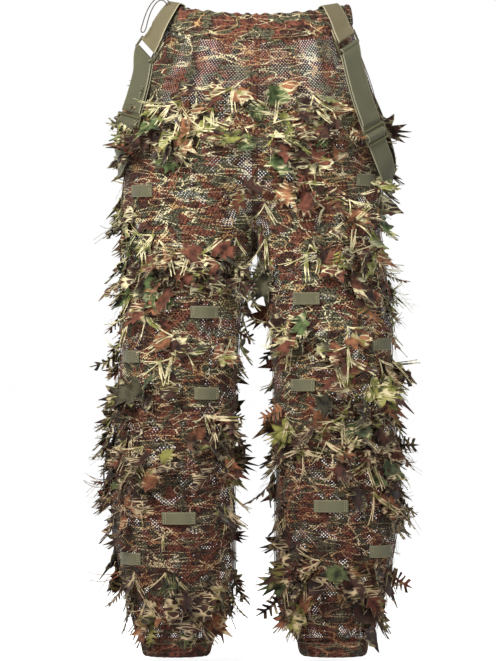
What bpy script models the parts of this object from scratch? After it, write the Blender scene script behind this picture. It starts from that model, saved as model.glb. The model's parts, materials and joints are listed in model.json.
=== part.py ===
"""Leaf-covered camouflage trousers with dropped braces, built as separate pieces.

Metres, +Z up. The front faces -Y and the wearer's right side is at -X.
The origin is the centre of the waist opening, level with the top of the
waistband at the front. Left and right are the wearer's.
"""
import math

import bmesh
import bpy
import numpy as np
from mathutils import Vector

# ---------------------------------------------------------------- driving dimensions
CROTCH_Z = -0.360
HEM_Z = -1.050
WAISTBAND_HEIGHT = 0.041
HEM_BAND_HEIGHT = 0.026
CLOTH = 0.0018            # net cloth, as thick as its two folded seam layers
SEAM_GAP = 0.0006         # clearance left between sewn neighbours
LEAN = -0.005             # the legs hang a little to the wearer's right
SIDE_RISE = 0.018         # how far the waistband climbs from the front to the sides
BACK_RISE = 0.008

# Trunk outline: height, half width, half depth.
TRUNK = (
    (0.040, 0.150, 0.104),
    (0.000, 0.151, 0.105),
    (-WAISTBAND_HEIGHT, 0.163, 0.112),
    (-0.100, 0.186, 0.122),
    (-0.175, 0.207, 0.131),
    (-0.260, 0.2125, 0.136),
    (CROTCH_Z, 0.2130, 0.128),
    (-0.400, 0.2130, 0.126),
)
FORK_TOP = -0.150         # where the seat starts to divide into two legs
FORK_SHARPNESS = 3.0

# Leg outline: height, distance of the leg's middle from the centre, half width, half depth.
LEG = (
    (CROTCH_Z, 0.1070, 0.1060, 0.1120),
    (-0.420, 0.1120, 0.1030, 0.1080),
    (-0.520, 0.1230, 0.0980, 0.1010),
    (-0.630, 0.1300, 0.0990, 0.0960),
    (-0.790, 0.1355, 0.1020, 0.0960),
    (-0.890, 0.1310, 0.0980, 0.0920),
    (-0.940, 0.1260, 0.0880, 0.0820),
    (-0.990, 0.1260, 0.0740, 0.0700),
    (-1.030, 0.1290, 0.0550, 0.0540),
    (HEM_Z - 0.020, 0.1300, 0.0500, 0.0500),
)

# The bends. Cloth between a pair of edges gives way, so it is a piece of its own.
HIP_Z = -0.445
KNEE_Z = -0.650
SEAT_EDGE_Z = -0.375
THIGH_TOP = (-0.460, -0.040)      # level, and how much lower it runs at the front
THIGH_BOTTOM = (-0.6125, -0.0325)
SHIN_TOP = (-0.6925, 0.0275)

SEWN_LIFT = 0.0013          # clearance of what is sewn on top of the cloth
LEAF_FLARE = 0.028
LEAF_DROP = 0.055
LEAF_CLOTH = 0.0015
TOOTH_WIDTH = 0.034

STRAP_WIDTH = 0.038
STRAP_THICKNESS = 0.0016
RING_BAR = 0.0034
RING_INSIDE = (0.040, 0.016)      # slot width and height
SLIDER_INSIDE = (0.042, 0.0090)   # each of its two slots
SLIDER_BAR = 0.0034
TAB_THICKNESS = 0.0014
PATCH_HEIGHT = 0.034

# Foliage loops: name, distance from the centre, height on the right and left leg, width, body.
FOLIAGE_LOOPS = (
    ("hip", 0.181, -0.287, -0.269, 0.036, "root"),
    ("thigh_inner", 0.083, -0.484, -0.462, 0.044, "thigh"),
    ("thigh_outer", 0.206, -0.557, -0.537, 0.046, "thigh"),
    ("knee_inner", 0.079, -0.617, -0.603, 0.040, "thigh"),
    ("shin_front", 0.124, -0.820, -0.800, 0.052, "shin"),
    ("shin_outer", 0.206, -0.887, -0.875, 0.046, "shin"),
)
LOOP_HEIGHT = 0.017
LOOP_BOW = 0.0026

# Leaf garlands: name, outline stretch, level, how much lower it runs at the front, body.
GARLANDS = (
    ("seat_front_upper", 0.05, 0.25, -0.135, 0.0, "root"),
    ("seat_back_upper", 0.72, 0.95, -0.125, 0.0, "root"),
    ("seat_lower", 0.14, 0.86, -0.303, 0.0, "root"),
    ("thigh", 0.08, 0.92, -0.490, -0.038, "thigh"),
    ("shin_upper", 0.06, 0.94, -0.717, 0.0275, "shin"),
    ("shin_middle", 0.06, 0.94, -0.845, 0.0, "shin"),
    ("shin_lower", 0.06, 0.94, -0.925, 0.0, "shin"),
)

# Braces: ring centre, slant of the ring, and the webbing's route from ring to rear patch.
BRACES = {
    "right": {
        "ring": (-0.1817, -0.034, -0.0538),
        "slant": 42.0,
        "tab_top": 0.362,
        "slider_at": 5,
        "route": (
            (-0.1895, -0.036, -0.082),
            (-0.1935, -0.046, -0.105),
            (-0.1995, -0.056, -0.130),
            (-0.2070, -0.061, -0.155),
            (-0.2125, -0.061, -0.175),
            (-0.2175, -0.057, -0.195),
            (-0.2225, -0.048, -0.214),
            (-0.2275, -0.026, -0.234),
            (-0.2300, 0.000, -0.243),
            (-0.2280, 0.028, -0.233),
            (-0.2210, 0.050, -0.205),
            (-0.2080, 0.066, -0.165),
            (-0.1900, 0.076, -0.125),
            (-0.1670, 0.080, -0.092),
        ),
    },
    "left": {
        "ring": (0.1450, -0.070, -0.0430),
        "slant": 29.0,
        "tab_top": 0.285,
        "slider_at": 6,
        "route": (
            (0.1540, -0.079, -0.073),
            (0.1600, -0.087, -0.098),
            (0.1670, -0.091, -0.125),
            (0.1745, -0.092, -0.148),
            (0.1830, -0.090, -0.172),
            (0.1915, -0.085, -0.195),
            (0.1995, -0.077, -0.217),
            (0.2080, -0.063, -0.242),
            (0.2165, -0.036, -0.265),
            (0.2210, 0.000, -0.274),
            (0.2210, 0.030, -0.262),
            (0.2160, 0.052, -0.230),
            (0.2040, 0.068, -0.185),
            (0.1860, 0.078, -0.138),
            (0.1650, 0.081, -0.097),
        ),
    },
}
REAR_PATCH = 0.690                # where the webbing is sewn on, along the waist outline

# Thin elastic drawcord that loops out of the waistband beside the right tab.
CORD_DIAMETER = 0.0018
CORD_ROUTE = (
    (-0.1487, -0.0440, 0.0190),
    (-0.1530, -0.0470, 0.0245),
    (-0.1600, -0.0500, 0.0262),
    (-0.1680, -0.0500, 0.0200),
    (-0.1750, -0.0490, 0.0080),
    (-0.1800, -0.0480, -0.0060),
    (-0.1830, -0.0470, -0.0180),
    (-0.1862, -0.0470, -0.0250),
    (-0.1900, -0.0470, -0.0262),
    (-0.1915, -0.0470, -0.0215),
    (-0.1885, -0.0475, -0.0110),
    (-0.1835, -0.0485, 0.0040),
    (-0.1765, -0.0500, 0.0180),
    (-0.1680, -0.0510, 0.0275),
    (-0.1590, -0.0500, 0.0320),
    (-0.1500, -0.0460, 0.0290),
    (-0.1440, -0.0425, 0.0195),
)

SIGN = {"right": 1.0, "left": -1.0}


# ---------------------------------------------------------------- outline of the garment
def stations(table, z):
    """Values of an outline table at height z, on a smooth curve through its rows."""
    rows = np.array(table)
    heights = rows[:, 0]
    z = min(max(z, heights[-1]), heights[0])
    last = len(rows) - 1
    i = int(np.clip(np.searchsorted(-heights, -z, side="right") - 1, 0, last - 1))
    f = (heights[i] - z) / (heights[i] - heights[i + 1])
    before, here = rows[max(i - 1, 0)], rows[i]
    after, beyond = rows[i + 1], rows[min(i + 2, last)]
    run = heights[i + 1] - heights[i]
    slope_here = (after - before) / (after[0] - before[0]) * run
    slope_after = (beyond - here) / (beyond[0] - here[0]) * run
    f2, f3 = f * f, f * f * f
    value = (2 * f3 - 3 * f2 + 1) * here + (f3 - 2 * f2 + f) * slope_here
    value += (-2 * f3 + 3 * f2) * after + (f3 - f2) * slope_after
    return value[1:]


def smooth_step(value):
    value = min(max(value, 0.0), 1.0)
    return value * value * (3.0 - 2.0 * value)


def right_outline(t, z):
    """Point of the right half at outline fraction t: 0 front centre, 0.5 side seam, 1 back."""
    half_width, half_depth = stations(TRUNK, z)
    if z > CROTCH_Z:
        fork = min(max((FORK_TOP - z) / (FORK_TOP - CROTCH_Z), 0.0), 1.0) ** FORK_SHARPNESS
        _, _, leg_depth = stations(LEG, CROTCH_Z)
        middle = half_width / 2
        leg_width = half_width / 2 - SEAM_GAP
    else:
        fork = 1.0
        middle, leg_width, leg_depth = stations(LEG, z)
    turn = math.pi * t
    seat = (-SEAM_GAP / 2 - half_width * math.sin(turn), -half_depth * math.cos(turn))
    leg = (-middle + leg_width * math.cos(2 * turn), -leg_depth * math.sin(2 * turn))
    x = (1 - fork) * seat[0] + fork * leg[0]
    y = (1 - fork) * seat[1] + fork * leg[1]
    return np.array((x, y, z))


def right_normal(t, z):
    step = 0.002
    if z > CROTCH_Z:
        t = min(max(t, step), 1 - step)
    along = right_outline(t + step, z) - right_outline(t - step, z)
    up = right_outline(t, min(z + step, 0.04)) - right_outline(t, z - step)
    normal = np.cross(up, along)
    return normal / np.linalg.norm(normal)


def garment(side, t, z, offset=0.0):
    """Point on the outside of the cloth, moved out by offset along the surface normal."""
    point = right_outline(t, z) + offset * right_normal(t, z)
    lean = LEAN * smooth_step(-z / -FORK_TOP)
    return Vector((SIGN[side] * point[0] + lean, point[1], point[2]))


def garment_normal(side, t, z):
    normal = right_normal(t, z)
    return Vector((SIGN[side] * normal[0], normal[1], normal[2]))


def waist_rise(t):
    """The waistband climbs towards the sides and stays a little higher at the back."""
    turn = math.pi * t
    return SIDE_RISE * math.sin(turn) ** 2 + BACK_RISE * (1 - math.cos(turn)) / 2


def slanted(edge):
    """An edge round a leg that runs lower or higher at the front than at the back."""
    level, front = edge
    return lambda t: level + front * math.sin(2 * math.pi * t)


def outline_at_x(side, x, z):
    """Outline fraction on the front where the cloth is at distance x from the centre."""
    low, high = 0.0, 0.5
    for _ in range(40):
        middle = (low + high) / 2
        if abs(garment(side, middle, z)[0] - LEAN) < x:
            low = middle
        else:
            high = middle
    return (low + high) / 2


# ---------------------------------------------------------------- joints and objects
def thigh_axis(side):
    middle = stations(LEG, HIP_Z)[0]
    return Vector((-SIGN[side] * middle + LEAN, 0.0, HIP_Z))


def shin_axis(side):
    middle = stations(LEG, KNEE_Z)[0]
    return Vector((-SIGN[side] * middle + LEAN, 0.0, KNEE_Z))


def rear_anchor(side):
    """Lower edge of the rear patch, where the webbing starts to hang free."""
    z = waist_rise(REAR_PATCH) - WAISTBAND_HEIGHT - 0.004
    return garment(side, REAR_PATCH, z, 0.006)


def ring_frame(side):
    """Centre of the ring, its width direction, its downward direction and its normal."""
    inward = Vector((0.8 * SIGN[side], -0.6, 0.0))
    slant = math.radians(BRACES[side]["slant"])
    up = Vector((0.0, 0.0, 1.0))
    width = math.cos(slant) * inward - math.sin(slant) * up
    down = -math.sin(slant) * inward - math.cos(slant) * up
    normal = Vector((-0.6 * SIGN[side], -0.8, 0.0))
    return Vector(BRACES[side]["ring"]), width, down, normal


def ring_bar_centre(side):
    """Middle of the ring's lower bar, which carries the webbing."""
    centre, _, down, _ = ring_frame(side)
    return centre + down * (RING_INSIDE[1] / 2 + RING_BAR / 2)


def slider_frame(side):
    """Middle of the slider with the webbing's own directions there."""
    route = [Vector(p) for p in BRACES[side]["route"]]
    i = BRACES[side]["slider_at"]
    down = (route[i] - route[i - 2]).normalized()
    normal = Vector((-0.6 * SIGN[side], -0.8, 0.0))
    normal = (normal - down * normal.dot(down)).normalized()
    width = normal.cross(down).normalized()
    return route[i - 1], width, down, normal


def clear_scene():
    for item in list(bpy.data.objects):
        bpy.data.objects.remove(item, do_unlink=True)


def make_axis(name, place, parent=None):
    axis = bpy.data.objects.new(name, None)
    axis.empty_display_size = 0.03
    axis["place"] = tuple(place)
    axis.parent = parent
    axis.location = place - (Vector(parent["place"]) if parent else Vector())
    bpy.context.scene.collection.objects.link(axis)
    return axis


def make_axes():
    """Empties on the joint axes; every moving piece hangs under one of them."""
    axes = {}
    for side in SIGN:
        thigh = make_axis("axis_hip_" + side, thigh_axis(side))
        axes["thigh", side] = thigh
        axes["shin", side] = make_axis("axis_knee_" + side, shin_axis(side), thigh)
        brace = make_axis("axis_brace_" + side, ring_bar_centre(side))
        axes["brace", side] = brace
        axes["slider", side] = make_axis("axis_slider_" + side, slider_frame(side)[0], brace)
    return axes


def add_piece(name, points, faces, material, axis=None):
    """One closed solid from world points, with its origin on its joint's axis."""
    origin = Vector(axis["place"]) if axis else Vector()
    mesh = bpy.data.meshes.new(name)
    mesh.from_pydata([tuple(Vector(p) - origin) for p in points], [], faces)
    work = bmesh.new()
    work.from_mesh(mesh)
    bmesh.ops.recalc_face_normals(work, faces=work.faces)
    work.to_mesh(mesh)
    work.free()
    mesh.shade_smooth()
    mesh.set_sharp_from_angle(angle=math.radians(40))
    mesh.materials.append(material)
    piece = bpy.data.objects.new(name, mesh)
    piece.parent = axis
    bpy.context.scene.collection.objects.link(piece)
    return piece


# ---------------------------------------------------------------- materials
def make_material(name, colour, roughness, metallic=0.0):
    material = bpy.data.materials.new(name)
    material.use_nodes = True
    shader = material.node_tree.nodes["Principled BSDF"]
    shader.inputs["Base Color"].default_value = (*colour, 1.0)
    shader.inputs["Roughness"].default_value = roughness
    shader.inputs["Metallic"].default_value = metallic
    return material


def make_materials():
    return {
        "net": make_material("net_cloth", (0.13, 0.075, 0.055), 0.85),
        "ease": make_material("net_cloth_bend", (0.10, 0.075, 0.055), 0.85),
        "leaf": make_material("leaf_cloth", (0.15, 0.16, 0.07), 0.8),
        "leaf_dry": make_material("leaf_cloth_dry", (0.22, 0.12, 0.07), 0.8),
        "loop": make_material("foliage_loop_webbing", (0.18, 0.16, 0.09), 0.75),
        "strap": make_material("brace_webbing", (0.14, 0.13, 0.075), 0.7),
        "tab": make_material("brace_tab_webbing", (0.32, 0.27, 0.15), 0.75),
        "plastic": make_material("olive_plastic", (0.13, 0.12, 0.065), 0.45),
        "elastic": make_material("elastic_band", (0.55, 0.53, 0.48), 0.7),
        "cord": make_material("elastic_cord", (0.09, 0.07, 0.055), 0.6),
    }


# ---------------------------------------------------------------- cloth solids
def sheet_solid(outer, inner, closed):
    """Join two grids of points, rows by columns, into one closed slab."""
    rows, columns = len(outer), len(outer[0])
    points = [p for row in outer for p in row] + [p for row in inner for p in row]
    back = rows * columns
    faces = []
    spans = range(columns if closed else columns - 1)
    for r in range(rows - 1):
        for c in spans:
            a, b = r * columns + c, r * columns + (c + 1) % columns
            d, e = a + columns, b + columns
            faces.append((a, b, e, d))
            faces.append((back + d, back + e, back + b, back + a))
    for c in spans:
        n = (c + 1) % columns
        top, low = 0, (rows - 1) * columns
        faces.append((back + top + c, back + top + n, top + n, top + c))
        faces.append((low + c, low + n, back + low + n, back + low + c))
    if not closed:
        for r in range(rows - 1):
            for c in (0, columns - 1):
                a, d = r * columns + c, (r + 1) * columns + c
                faces.append((a, d, back + d, back + a))
    return points, faces


def cloth_grid(side, fractions, top, bottom, rows, offset):
    """Points of a stretch of cloth between two edges, at one offset from the surface."""
    grid = []
    for r in range(rows + 1):
        share = r / rows
        grid.append([garment(side, t, top(t) + (bottom(t) - top(t)) * share, offset)
                     for t in fractions])
    return grid


def make_panel(name, side, start, end, top, bottom, columns, rows, material, axis=None):
    """A flat-sewn panel: one slab of cloth on a stretch of the outline."""
    fractions = [start + (end - start) * c / columns for c in range(columns + 1)]
    outer = cloth_grid(side, fractions, top, bottom, rows, 0.0)
    inner = cloth_grid(side, fractions, top, bottom, rows, -CLOTH)
    points, faces = sheet_solid(outer, inner, closed=False)
    return add_piece(name, points, faces, material, axis)


def make_sleeve(name, side, top, bottom, columns, rows, material, axis=None):
    """A tube of cloth all round one leg."""
    fractions = [c / columns for c in range(columns)]
    outer = cloth_grid(side, fractions, top, bottom, rows, 0.0)
    inner = cloth_grid(side, fractions, top, bottom, rows, -CLOTH)
    points, faces = sheet_solid(outer, inner, closed=True)
    return add_piece(name, points, faces, material, axis)


def make_garland(name, side, start, end, edge, material, axis=None):
    """A strip of cut leaves sewn on along its top edge, standing away at its pointed tips."""
    level = edge((start + end) / 2)
    length = sum((garment(side, start + (end - start) * (k + 1) / 24, level)
                  - garment(side, start + (end - start) * k / 24, level)).length
                 for k in range(24))
    columns = 2 * round(length / TOOTH_WIDTH)
    outer, inner = [], []
    for row in range(2):
        outer.append([])
        inner.append([])
        for c in range(columns + 1):
            t = start + (end - start) * c / columns
            reach = row * (1.0 if c % 2 else 0.6)
            z = edge(t) - LEAF_DROP * reach
            lift = SEWN_LIFT + LEAF_FLARE * reach
            inner[row].append(garment(side, t, z, lift))
            outer[row].append(garment(side, t, z, lift + LEAF_CLOTH))
    points, faces = sheet_solid(outer, inner, closed=False)
    return add_piece(name, points, faces, material, axis)


def make_loop(name, side, x, z, width, material, axis=None):
    """A flat webbing loop sewn down at its two ends, bowed a little for stems of foliage."""
    middle = outline_at_x(side, x, z)
    span = (garment(side, middle + 0.01, z) - garment(side, middle - 0.01, z)).length
    half = 0.01 * width / span
    columns = 8
    outer, inner = [], []
    for edge_z in (z + LOOP_HEIGHT / 2, z - LOOP_HEIGHT / 2):
        outer.append([])
        inner.append([])
        for c in range(columns + 1):
            share = c / columns
            t = middle - half + 2 * half * share
            lift = SEWN_LIFT + LOOP_BOW * math.sin(math.pi * share) ** 2
            inner[-1].append(garment(side, t, edge_z, lift))
            outer[-1].append(garment(side, t, edge_z, lift + TAB_THICKNESS))
    points, faces = sheet_solid(outer, inner, closed=False)
    return add_piece(name, points, faces, material, axis)


# ---------------------------------------------------------------- bands with elastic inside
def ring_of_profiles(stops):
    """Closed ring solid from profiles that all have the same number of points."""
    size = len(stops[0])
    points = [p for stop in stops for p in stop]
    faces = []
    for s in range(len(stops)):
        for k in range(size):
            a, b = s * size + k, s * size + (k + 1) % size
            n = ((s + 1) % len(stops)) * size
            faces.append((a, b, n + (k + 1) % size, n + k))
    return points, faces


def folded_profile(height, wall, room, fold_up):
    """Casing folded over at one edge and open at the other, as (offset, height) pairs."""
    depth = 2 * wall + room
    shape = [(0.0, height), (0.0, wall), (-wall, 0.0), (-depth + wall, 0.0),
             (-depth, wall), (-depth, height), (-depth + wall, height),
             (-depth + wall, wall), (-wall, wall), (-wall, height)]
    if fold_up:
        shape = [(offset, height - rise) for offset, rise in shape]
    return shape


def band_point(side, t, low, high, rise, offset):
    """Point of a straight-walled band between two levels, at a height above its lower edge."""
    share = rise / (high - low)
    return garment(side, t, low, offset).lerp(garment(side, t, high, offset), share)


def waist_stops(profile, count):
    """Copies of a profile round the whole waist."""
    stops = []
    for k in range(count):
        turn = 2 * k / count
        side, t = ("right", turn) if turn <= 1 else ("left", 2 - turn)
        top = waist_rise(t)
        stops.append([band_point(side, t, top - WAISTBAND_HEIGHT, top, rise, offset)
                      for offset, rise in profile])
    return stops


def hem_stops(side, profile, count):
    """Copies of a profile round one leg's hem."""
    return [[band_point(side, k / count, HEM_Z, HEM_Z + HEM_BAND_HEIGHT, rise, offset)
             for offset, rise in profile] for k in range(count)]


def band_profile(near, far, low, high):
    return [(near, high), (near, low), (far, low), (far, high)]


def make_waistband(materials):
    wall, room = 0.0013, 0.0032
    casing = folded_profile(WAISTBAND_HEIGHT, wall, room, fold_up=True)
    points, faces = ring_of_profiles(waist_stops(casing, 36))
    add_piece("waistband_casing", points, faces, materials["net"])
    near = -wall - 0.0007
    band = band_profile(near, near - 0.0018, 0.004, WAISTBAND_HEIGHT - wall - 0.0015)
    points, faces = ring_of_profiles(waist_stops(band, 36))
    add_piece("waist_elastic", points, faces, materials["elastic"])


def make_hem(side, materials, axis):
    wall, room = 0.0013, 0.0030
    casing = folded_profile(HEM_BAND_HEIGHT, wall, room, fold_up=False)
    points, faces = ring_of_profiles(hem_stops(side, casing, 22))
    add_piece("hem_casing_" + side, points, faces, materials["net"], axis)
    near = -wall - 0.0007
    band = band_profile(near, near - 0.0016, wall + 0.0015, HEM_BAND_HEIGHT - 0.005)
    points, faces = ring_of_profiles(hem_stops(side, band, 22))
    add_piece("hem_elastic_" + side, points, faces, materials["elastic"], axis)


# ---------------------------------------------------------------- braces
def frame_with_slots(centre, width, down, normal, inside, bar, slots):
    """Flat buckle with one slot or more above each other, and bars of square section."""
    half_width = inside[0] / 2 + bar
    lines_x = [-half_width, -inside[0] / 2, inside[0] / 2, half_width]
    height = slots * inside[1] + (slots + 1) * bar
    lines_y = [-height / 2]
    for _ in range(slots):
        lines_y += [lines_y[-1] + bar, lines_y[-1] + bar + inside[1]]
    lines_y.append(lines_y[-1] + bar)
    work = bmesh.new()
    grid = [[[work.verts.new(centre + width * x + down * y + normal * side * bar / 2)
              for x in lines_x] for y in lines_y] for side in (1, -1)]
    last_row = len(lines_y) - 2
    solid = {(r, c) for r in range(last_row + 1) for c in range(3)
             if c != 1 or r % 2 == 0}
    for r, c in solid:
        for layer in grid:
            work.faces.new((layer[r][c], layer[r][c + 1], layer[r + 1][c + 1], layer[r + 1][c]))
        for (dr, dc), (p, q) in {(-1, 0): ((0, 0), (0, 1)), (1, 0): ((1, 0), (1, 1)),
                                 (0, -1): ((0, 0), (1, 0)), (0, 1): ((0, 1), (1, 1))}.items():
            if (r + dr, c + dc) not in solid:
                work.faces.new((grid[0][r + p[0]][c + p[1]], grid[0][r + q[0]][c + q[1]],
                                grid[1][r + q[0]][c + q[1]], grid[1][r + p[0]][c + p[1]]))
    loose = [v for v in work.verts if not v.link_faces]
    bmesh.ops.delete(work, geom=loose, context="VERTS")
    work.verts.index_update()
    points = [v.co.copy() for v in work.verts]
    faces = [[v.index for v in face.verts] for face in work.faces]
    work.free()
    return points, faces


def ribbon(stops, width, thickness):
    """Webbing swept along stops of (point, width direction); its face follows its run."""
    points, faces = [], []
    last = len(stops) - 1
    for s, (place, across) in enumerate(stops):
        run = (stops[min(s + 1, last)][0] - stops[max(s - 1, 0)][0]).normalized()
        across = across.normalized()
        normal = across.cross(run).normalized()
        for a, b in ((-1, -1), (1, -1), (1, 1), (-1, 1)):
            points.append(place + across * a * width / 2 + normal * b * thickness / 2)
    for s in range(len(stops) - 1):
        for k in range(4):
            n = (k + 1) % 4
            faces.append((4 * s + k, 4 * s + n, 4 * s + 4 + n, 4 * s + 4 + k))
    end = 4 * last
    faces += [(0, 1, 2, 3), (end + 3, end + 2, end + 1, end)]
    return points, faces


def square_to(direction, tangent):
    return (direction - tangent * direction.dot(tangent)).normalized()


def smooth_route(points, per_span):
    """Points along a smooth curve through the route's points."""
    padded = [2 * points[0] - points[1]] + points + [2 * points[-1] - points[-2]]
    result = []
    for i in range(1, len(padded) - 2):
        p0, p1, p2, p3 = padded[i - 1:i + 3]
        for k in range(per_span):
            f = k / per_span
            result.append(0.5 * (2 * p1 + (p2 - p0) * f + (2 * p0 - 5 * p1 + 4 * p2 - p3) * f * f
                                 + (3 * p1 - p0 - 3 * p2 + p3) * f ** 3))
    result.append(points[-1])
    return result


def around_bar(bar_centre, across, along, normal, radius):
    """Half turn of webbing over a buckle bar, from the far face to the near face."""
    lead = along * radius * 0.8
    stops = [(bar_centre - normal * radius + lead, across)]
    for k in range(7):
        angle = math.pi * k / 6
        out = -math.cos(angle) * normal + math.sin(angle) * -along
        stops.append((bar_centre + out * radius, across))
    stops.append((bar_centre + normal * radius + lead, across))
    return stops


def make_webbing(side, materials, axis):
    """The webbing starts sewn under the slider's middle bar, runs up to the ring, turns over
    its bar, comes down through the slider, then goes round the hip to the rear patch."""
    _, width, down, normal = ring_frame(side)
    radius = RING_BAR * 0.71 + 0.0006 + STRAP_THICKNESS / 2
    route = [Vector(p) for p in BRACES[side]["route"]] + [rear_anchor(side)]
    slider, slide_width, slide_down, slide_normal = slider_frame(side)
    last_front = BRACES[side]["slider_at"] - 2
    under = SLIDER_BAR / 2 + STRAP_THICKNESS / 2 + 0.0006
    second = under + STRAP_THICKNESS + 0.0007
    pitch = SLIDER_BAR + SLIDER_INSIDE[1]

    def facing(place):
        """Outward direction that the webbing's face looks to at a place on its route."""
        front = Vector((-0.6 * SIGN[side], -0.8, 0.0))
        back = Vector((-0.75 * SIGN[side], 0.66, 0.0))
        return front.lerp(back, smooth_step((place[1] + 0.05) / 0.10)).normalized()

    def stop_on_route(k, lift):
        before = route[k - 1] if k else ring_bar_centre(side)
        after = route[min(k + 1, len(route) - 1)]
        tangent = (after - before).normalized()
        face = square_to(facing(route[k]), tangent)
        return route[k] + face * lift, face.cross(tangent)

    def stop_in_slider(step, lift):
        return slider + slide_down * pitch * step + slide_normal * lift, slide_width

    inner = [stop_in_slider(0.0, -under), stop_in_slider(-0.5, -under - 0.0016),
             stop_in_slider(-1.0, -second), stop_in_slider(-1.5, -second)]
    inner += [stop_on_route(k, -0.0045) for k in range(last_front, -1, -1)]
    turn = around_bar(ring_bar_centre(side), width, down, normal, radius)
    outer = [stop_on_route(k, 0.0010) for k in range(last_front + 1)]
    outer += [stop_in_slider(step, lift) for step, lift in
              ((-1.5, -under), (-0.84, -under), (-0.16, under),
               (0.16, under), (0.84, -under), (1.5, -under))]
    rear = [stop_on_route(k, 0.0) for k in range(last_front + 3, len(route))]
    stops = []
    for place, across in inner + turn + outer + rear:
        if stops and across.dot(stops[-1][1]) < 0:
            across = -across
        stops.append((place, across))
    points, faces = ribbon(stops, STRAP_WIDTH, STRAP_THICKNESS)
    add_piece("brace_webbing_" + side, points, faces, materials["strap"], axis)


def make_ring(side, materials):
    centre, width, down, normal = ring_frame(side)
    points, faces = frame_with_slots(centre, width, down, normal, RING_INSIDE, RING_BAR, 1)
    add_piece("brace_ring_" + side, points, faces, materials["plastic"])


def make_slider(side, materials, axis):
    centre, width, down, normal = slider_frame(side)
    points, faces = frame_with_slots(centre, width, down, normal, SLIDER_INSIDE, SLIDER_BAR, 2)
    add_piece("brace_slider_" + side, points, faces, materials["plastic"], axis)


def make_front_tab(side, materials):
    """Doubled webbing from inside the waistband, over its top edge and round the ring."""
    centre, width, down, normal = ring_frame(side)
    bar = centre - down * (RING_INSIDE[1] / 2 + RING_BAR / 2)
    radius = RING_BAR * 0.71 + 0.0006 + TAB_THICKNESS / 2
    t, step = BRACES[side]["tab_top"], 0.02
    top = garment(side, t, waist_rise(t))
    tangent = garment(side, t - step, waist_rise(t - step))
    tangent = (tangent - garment(side, t + step, waist_rise(t + step))).normalized()
    out = square_to(garment_normal(side, t, 0.0), tangent)
    rise = out.cross(tangent)
    if rise[2] < 0:
        rise = -rise
    over = square_to(tangent + width, down)
    stops = [
        (top - out * 0.0102 - rise * 0.030, tangent),
        (top - out * 0.0102 - rise * 0.003, tangent),
        (top - out * 0.0085 + rise * 0.0026, tangent),
        (top - out * 0.0030 + rise * 0.0048, tangent),
        (top + out * 0.0036 + rise * 0.0020, tangent),
        (top.lerp(bar, 0.38) + out * 0.0065, tangent.lerp(over, 0.5)),
        (top.lerp(bar, 0.74) + normal * 0.004, over),
    ]
    for k in range(7):
        angle = math.pi * k / 6
        stops.append((bar + (math.cos(angle) * normal + math.sin(angle) * down) * radius, width))
    stops.append((bar - down * 0.020 - normal * radius * 0.9, width))
    points, faces = ribbon(stops, STRAP_WIDTH - 0.002, TAB_THICKNESS)
    add_piece("brace_tab_" + side, points, faces, materials["tab"])


def make_rear_patch(side, materials):
    """Flat patch on the back of the waistband that the webbing's end is sewn under."""
    half = 0.036
    columns, outer, inner = 4, [], []
    for drop in (0.003, PATCH_HEIGHT):
        outer.append([])
        inner.append([])
        for c in range(columns + 1):
            t = REAR_PATCH - half + 2 * half * c / columns
            z = waist_rise(t) - drop
            inner[-1].append(garment(side, t, z, 0.0012))
            outer[-1].append(garment(side, t, z, 0.0012 + TAB_THICKNESS))
    points, faces = sheet_solid(outer, inner, closed=False)
    add_piece("brace_rear_patch_" + side, points, faces, materials["tab"])


def make_drawcord(materials):
    """Free elastic cord that loops out of the waistband and back into it."""
    route = smooth_route([Vector(p) for p in CORD_ROUTE], 3)
    curve = bpy.data.curves.new("waist_drawcord", "CURVE")
    curve.dimensions = "3D"
    curve.bevel_depth = CORD_DIAMETER / 2
    curve.bevel_resolution = 2
    curve.use_fill_caps = True
    spline = curve.splines.new("POLY")
    spline.points.add(len(route) - 1)
    for point, place in zip(spline.points, route):
        point.co = (*place, 1.0)
    curve.materials.append(materials["cord"])
    cord = bpy.data.objects.new("waist_drawcord", curve)
    bpy.context.scene.collection.objects.link(cord)


# ---------------------------------------------------------------- assembly
def make_leg_cloth(side, materials, axes):
    net, ease = materials["net"], materials["ease"]
    thigh, shin = axes["thigh", side], axes["shin", side]
    edge = SEAM_GAP / 0.6

    def seat_top(t):
        return waist_rise(t) - WAISTBAND_HEIGHT - SEAM_GAP

    def seat_bottom(t):
        return SEAT_EDGE_Z

    def below(line):
        return lambda t: line(t) - SEAM_GAP

    def hem_top(t):
        return HEM_Z + HEM_BAND_HEIGHT + SEAM_GAP

    thigh_top, thigh_bottom = slanted(THIGH_TOP), slanted(THIGH_BOTTOM)
    shin_top = slanted(SHIN_TOP)
    halves = (("front", edge, 0.5 - edge), ("back", 0.5 + edge, 1 - edge))
    for half, start, end in halves:
        make_panel(f"seat_{half}_{side}", side, start, end, seat_top, seat_bottom,
                   10, 9, net)
        make_panel(f"thigh_{half}_{side}", side, start, end, thigh_top, thigh_bottom,
                   9, 3, net, thigh)
        make_panel(f"shin_{half}_{side}", side, start, end, shin_top, hem_top,
                   9, 7, net, shin)
    make_sleeve("hip_bend_" + side, side, below(seat_bottom), lambda t: thigh_top(t) + SEAM_GAP,
                20, 2, ease)
    make_sleeve("knee_bend_" + side, side, below(thigh_bottom), lambda t: shin_top(t) + SEAM_GAP,
                20, 2, ease, thigh)


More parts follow.
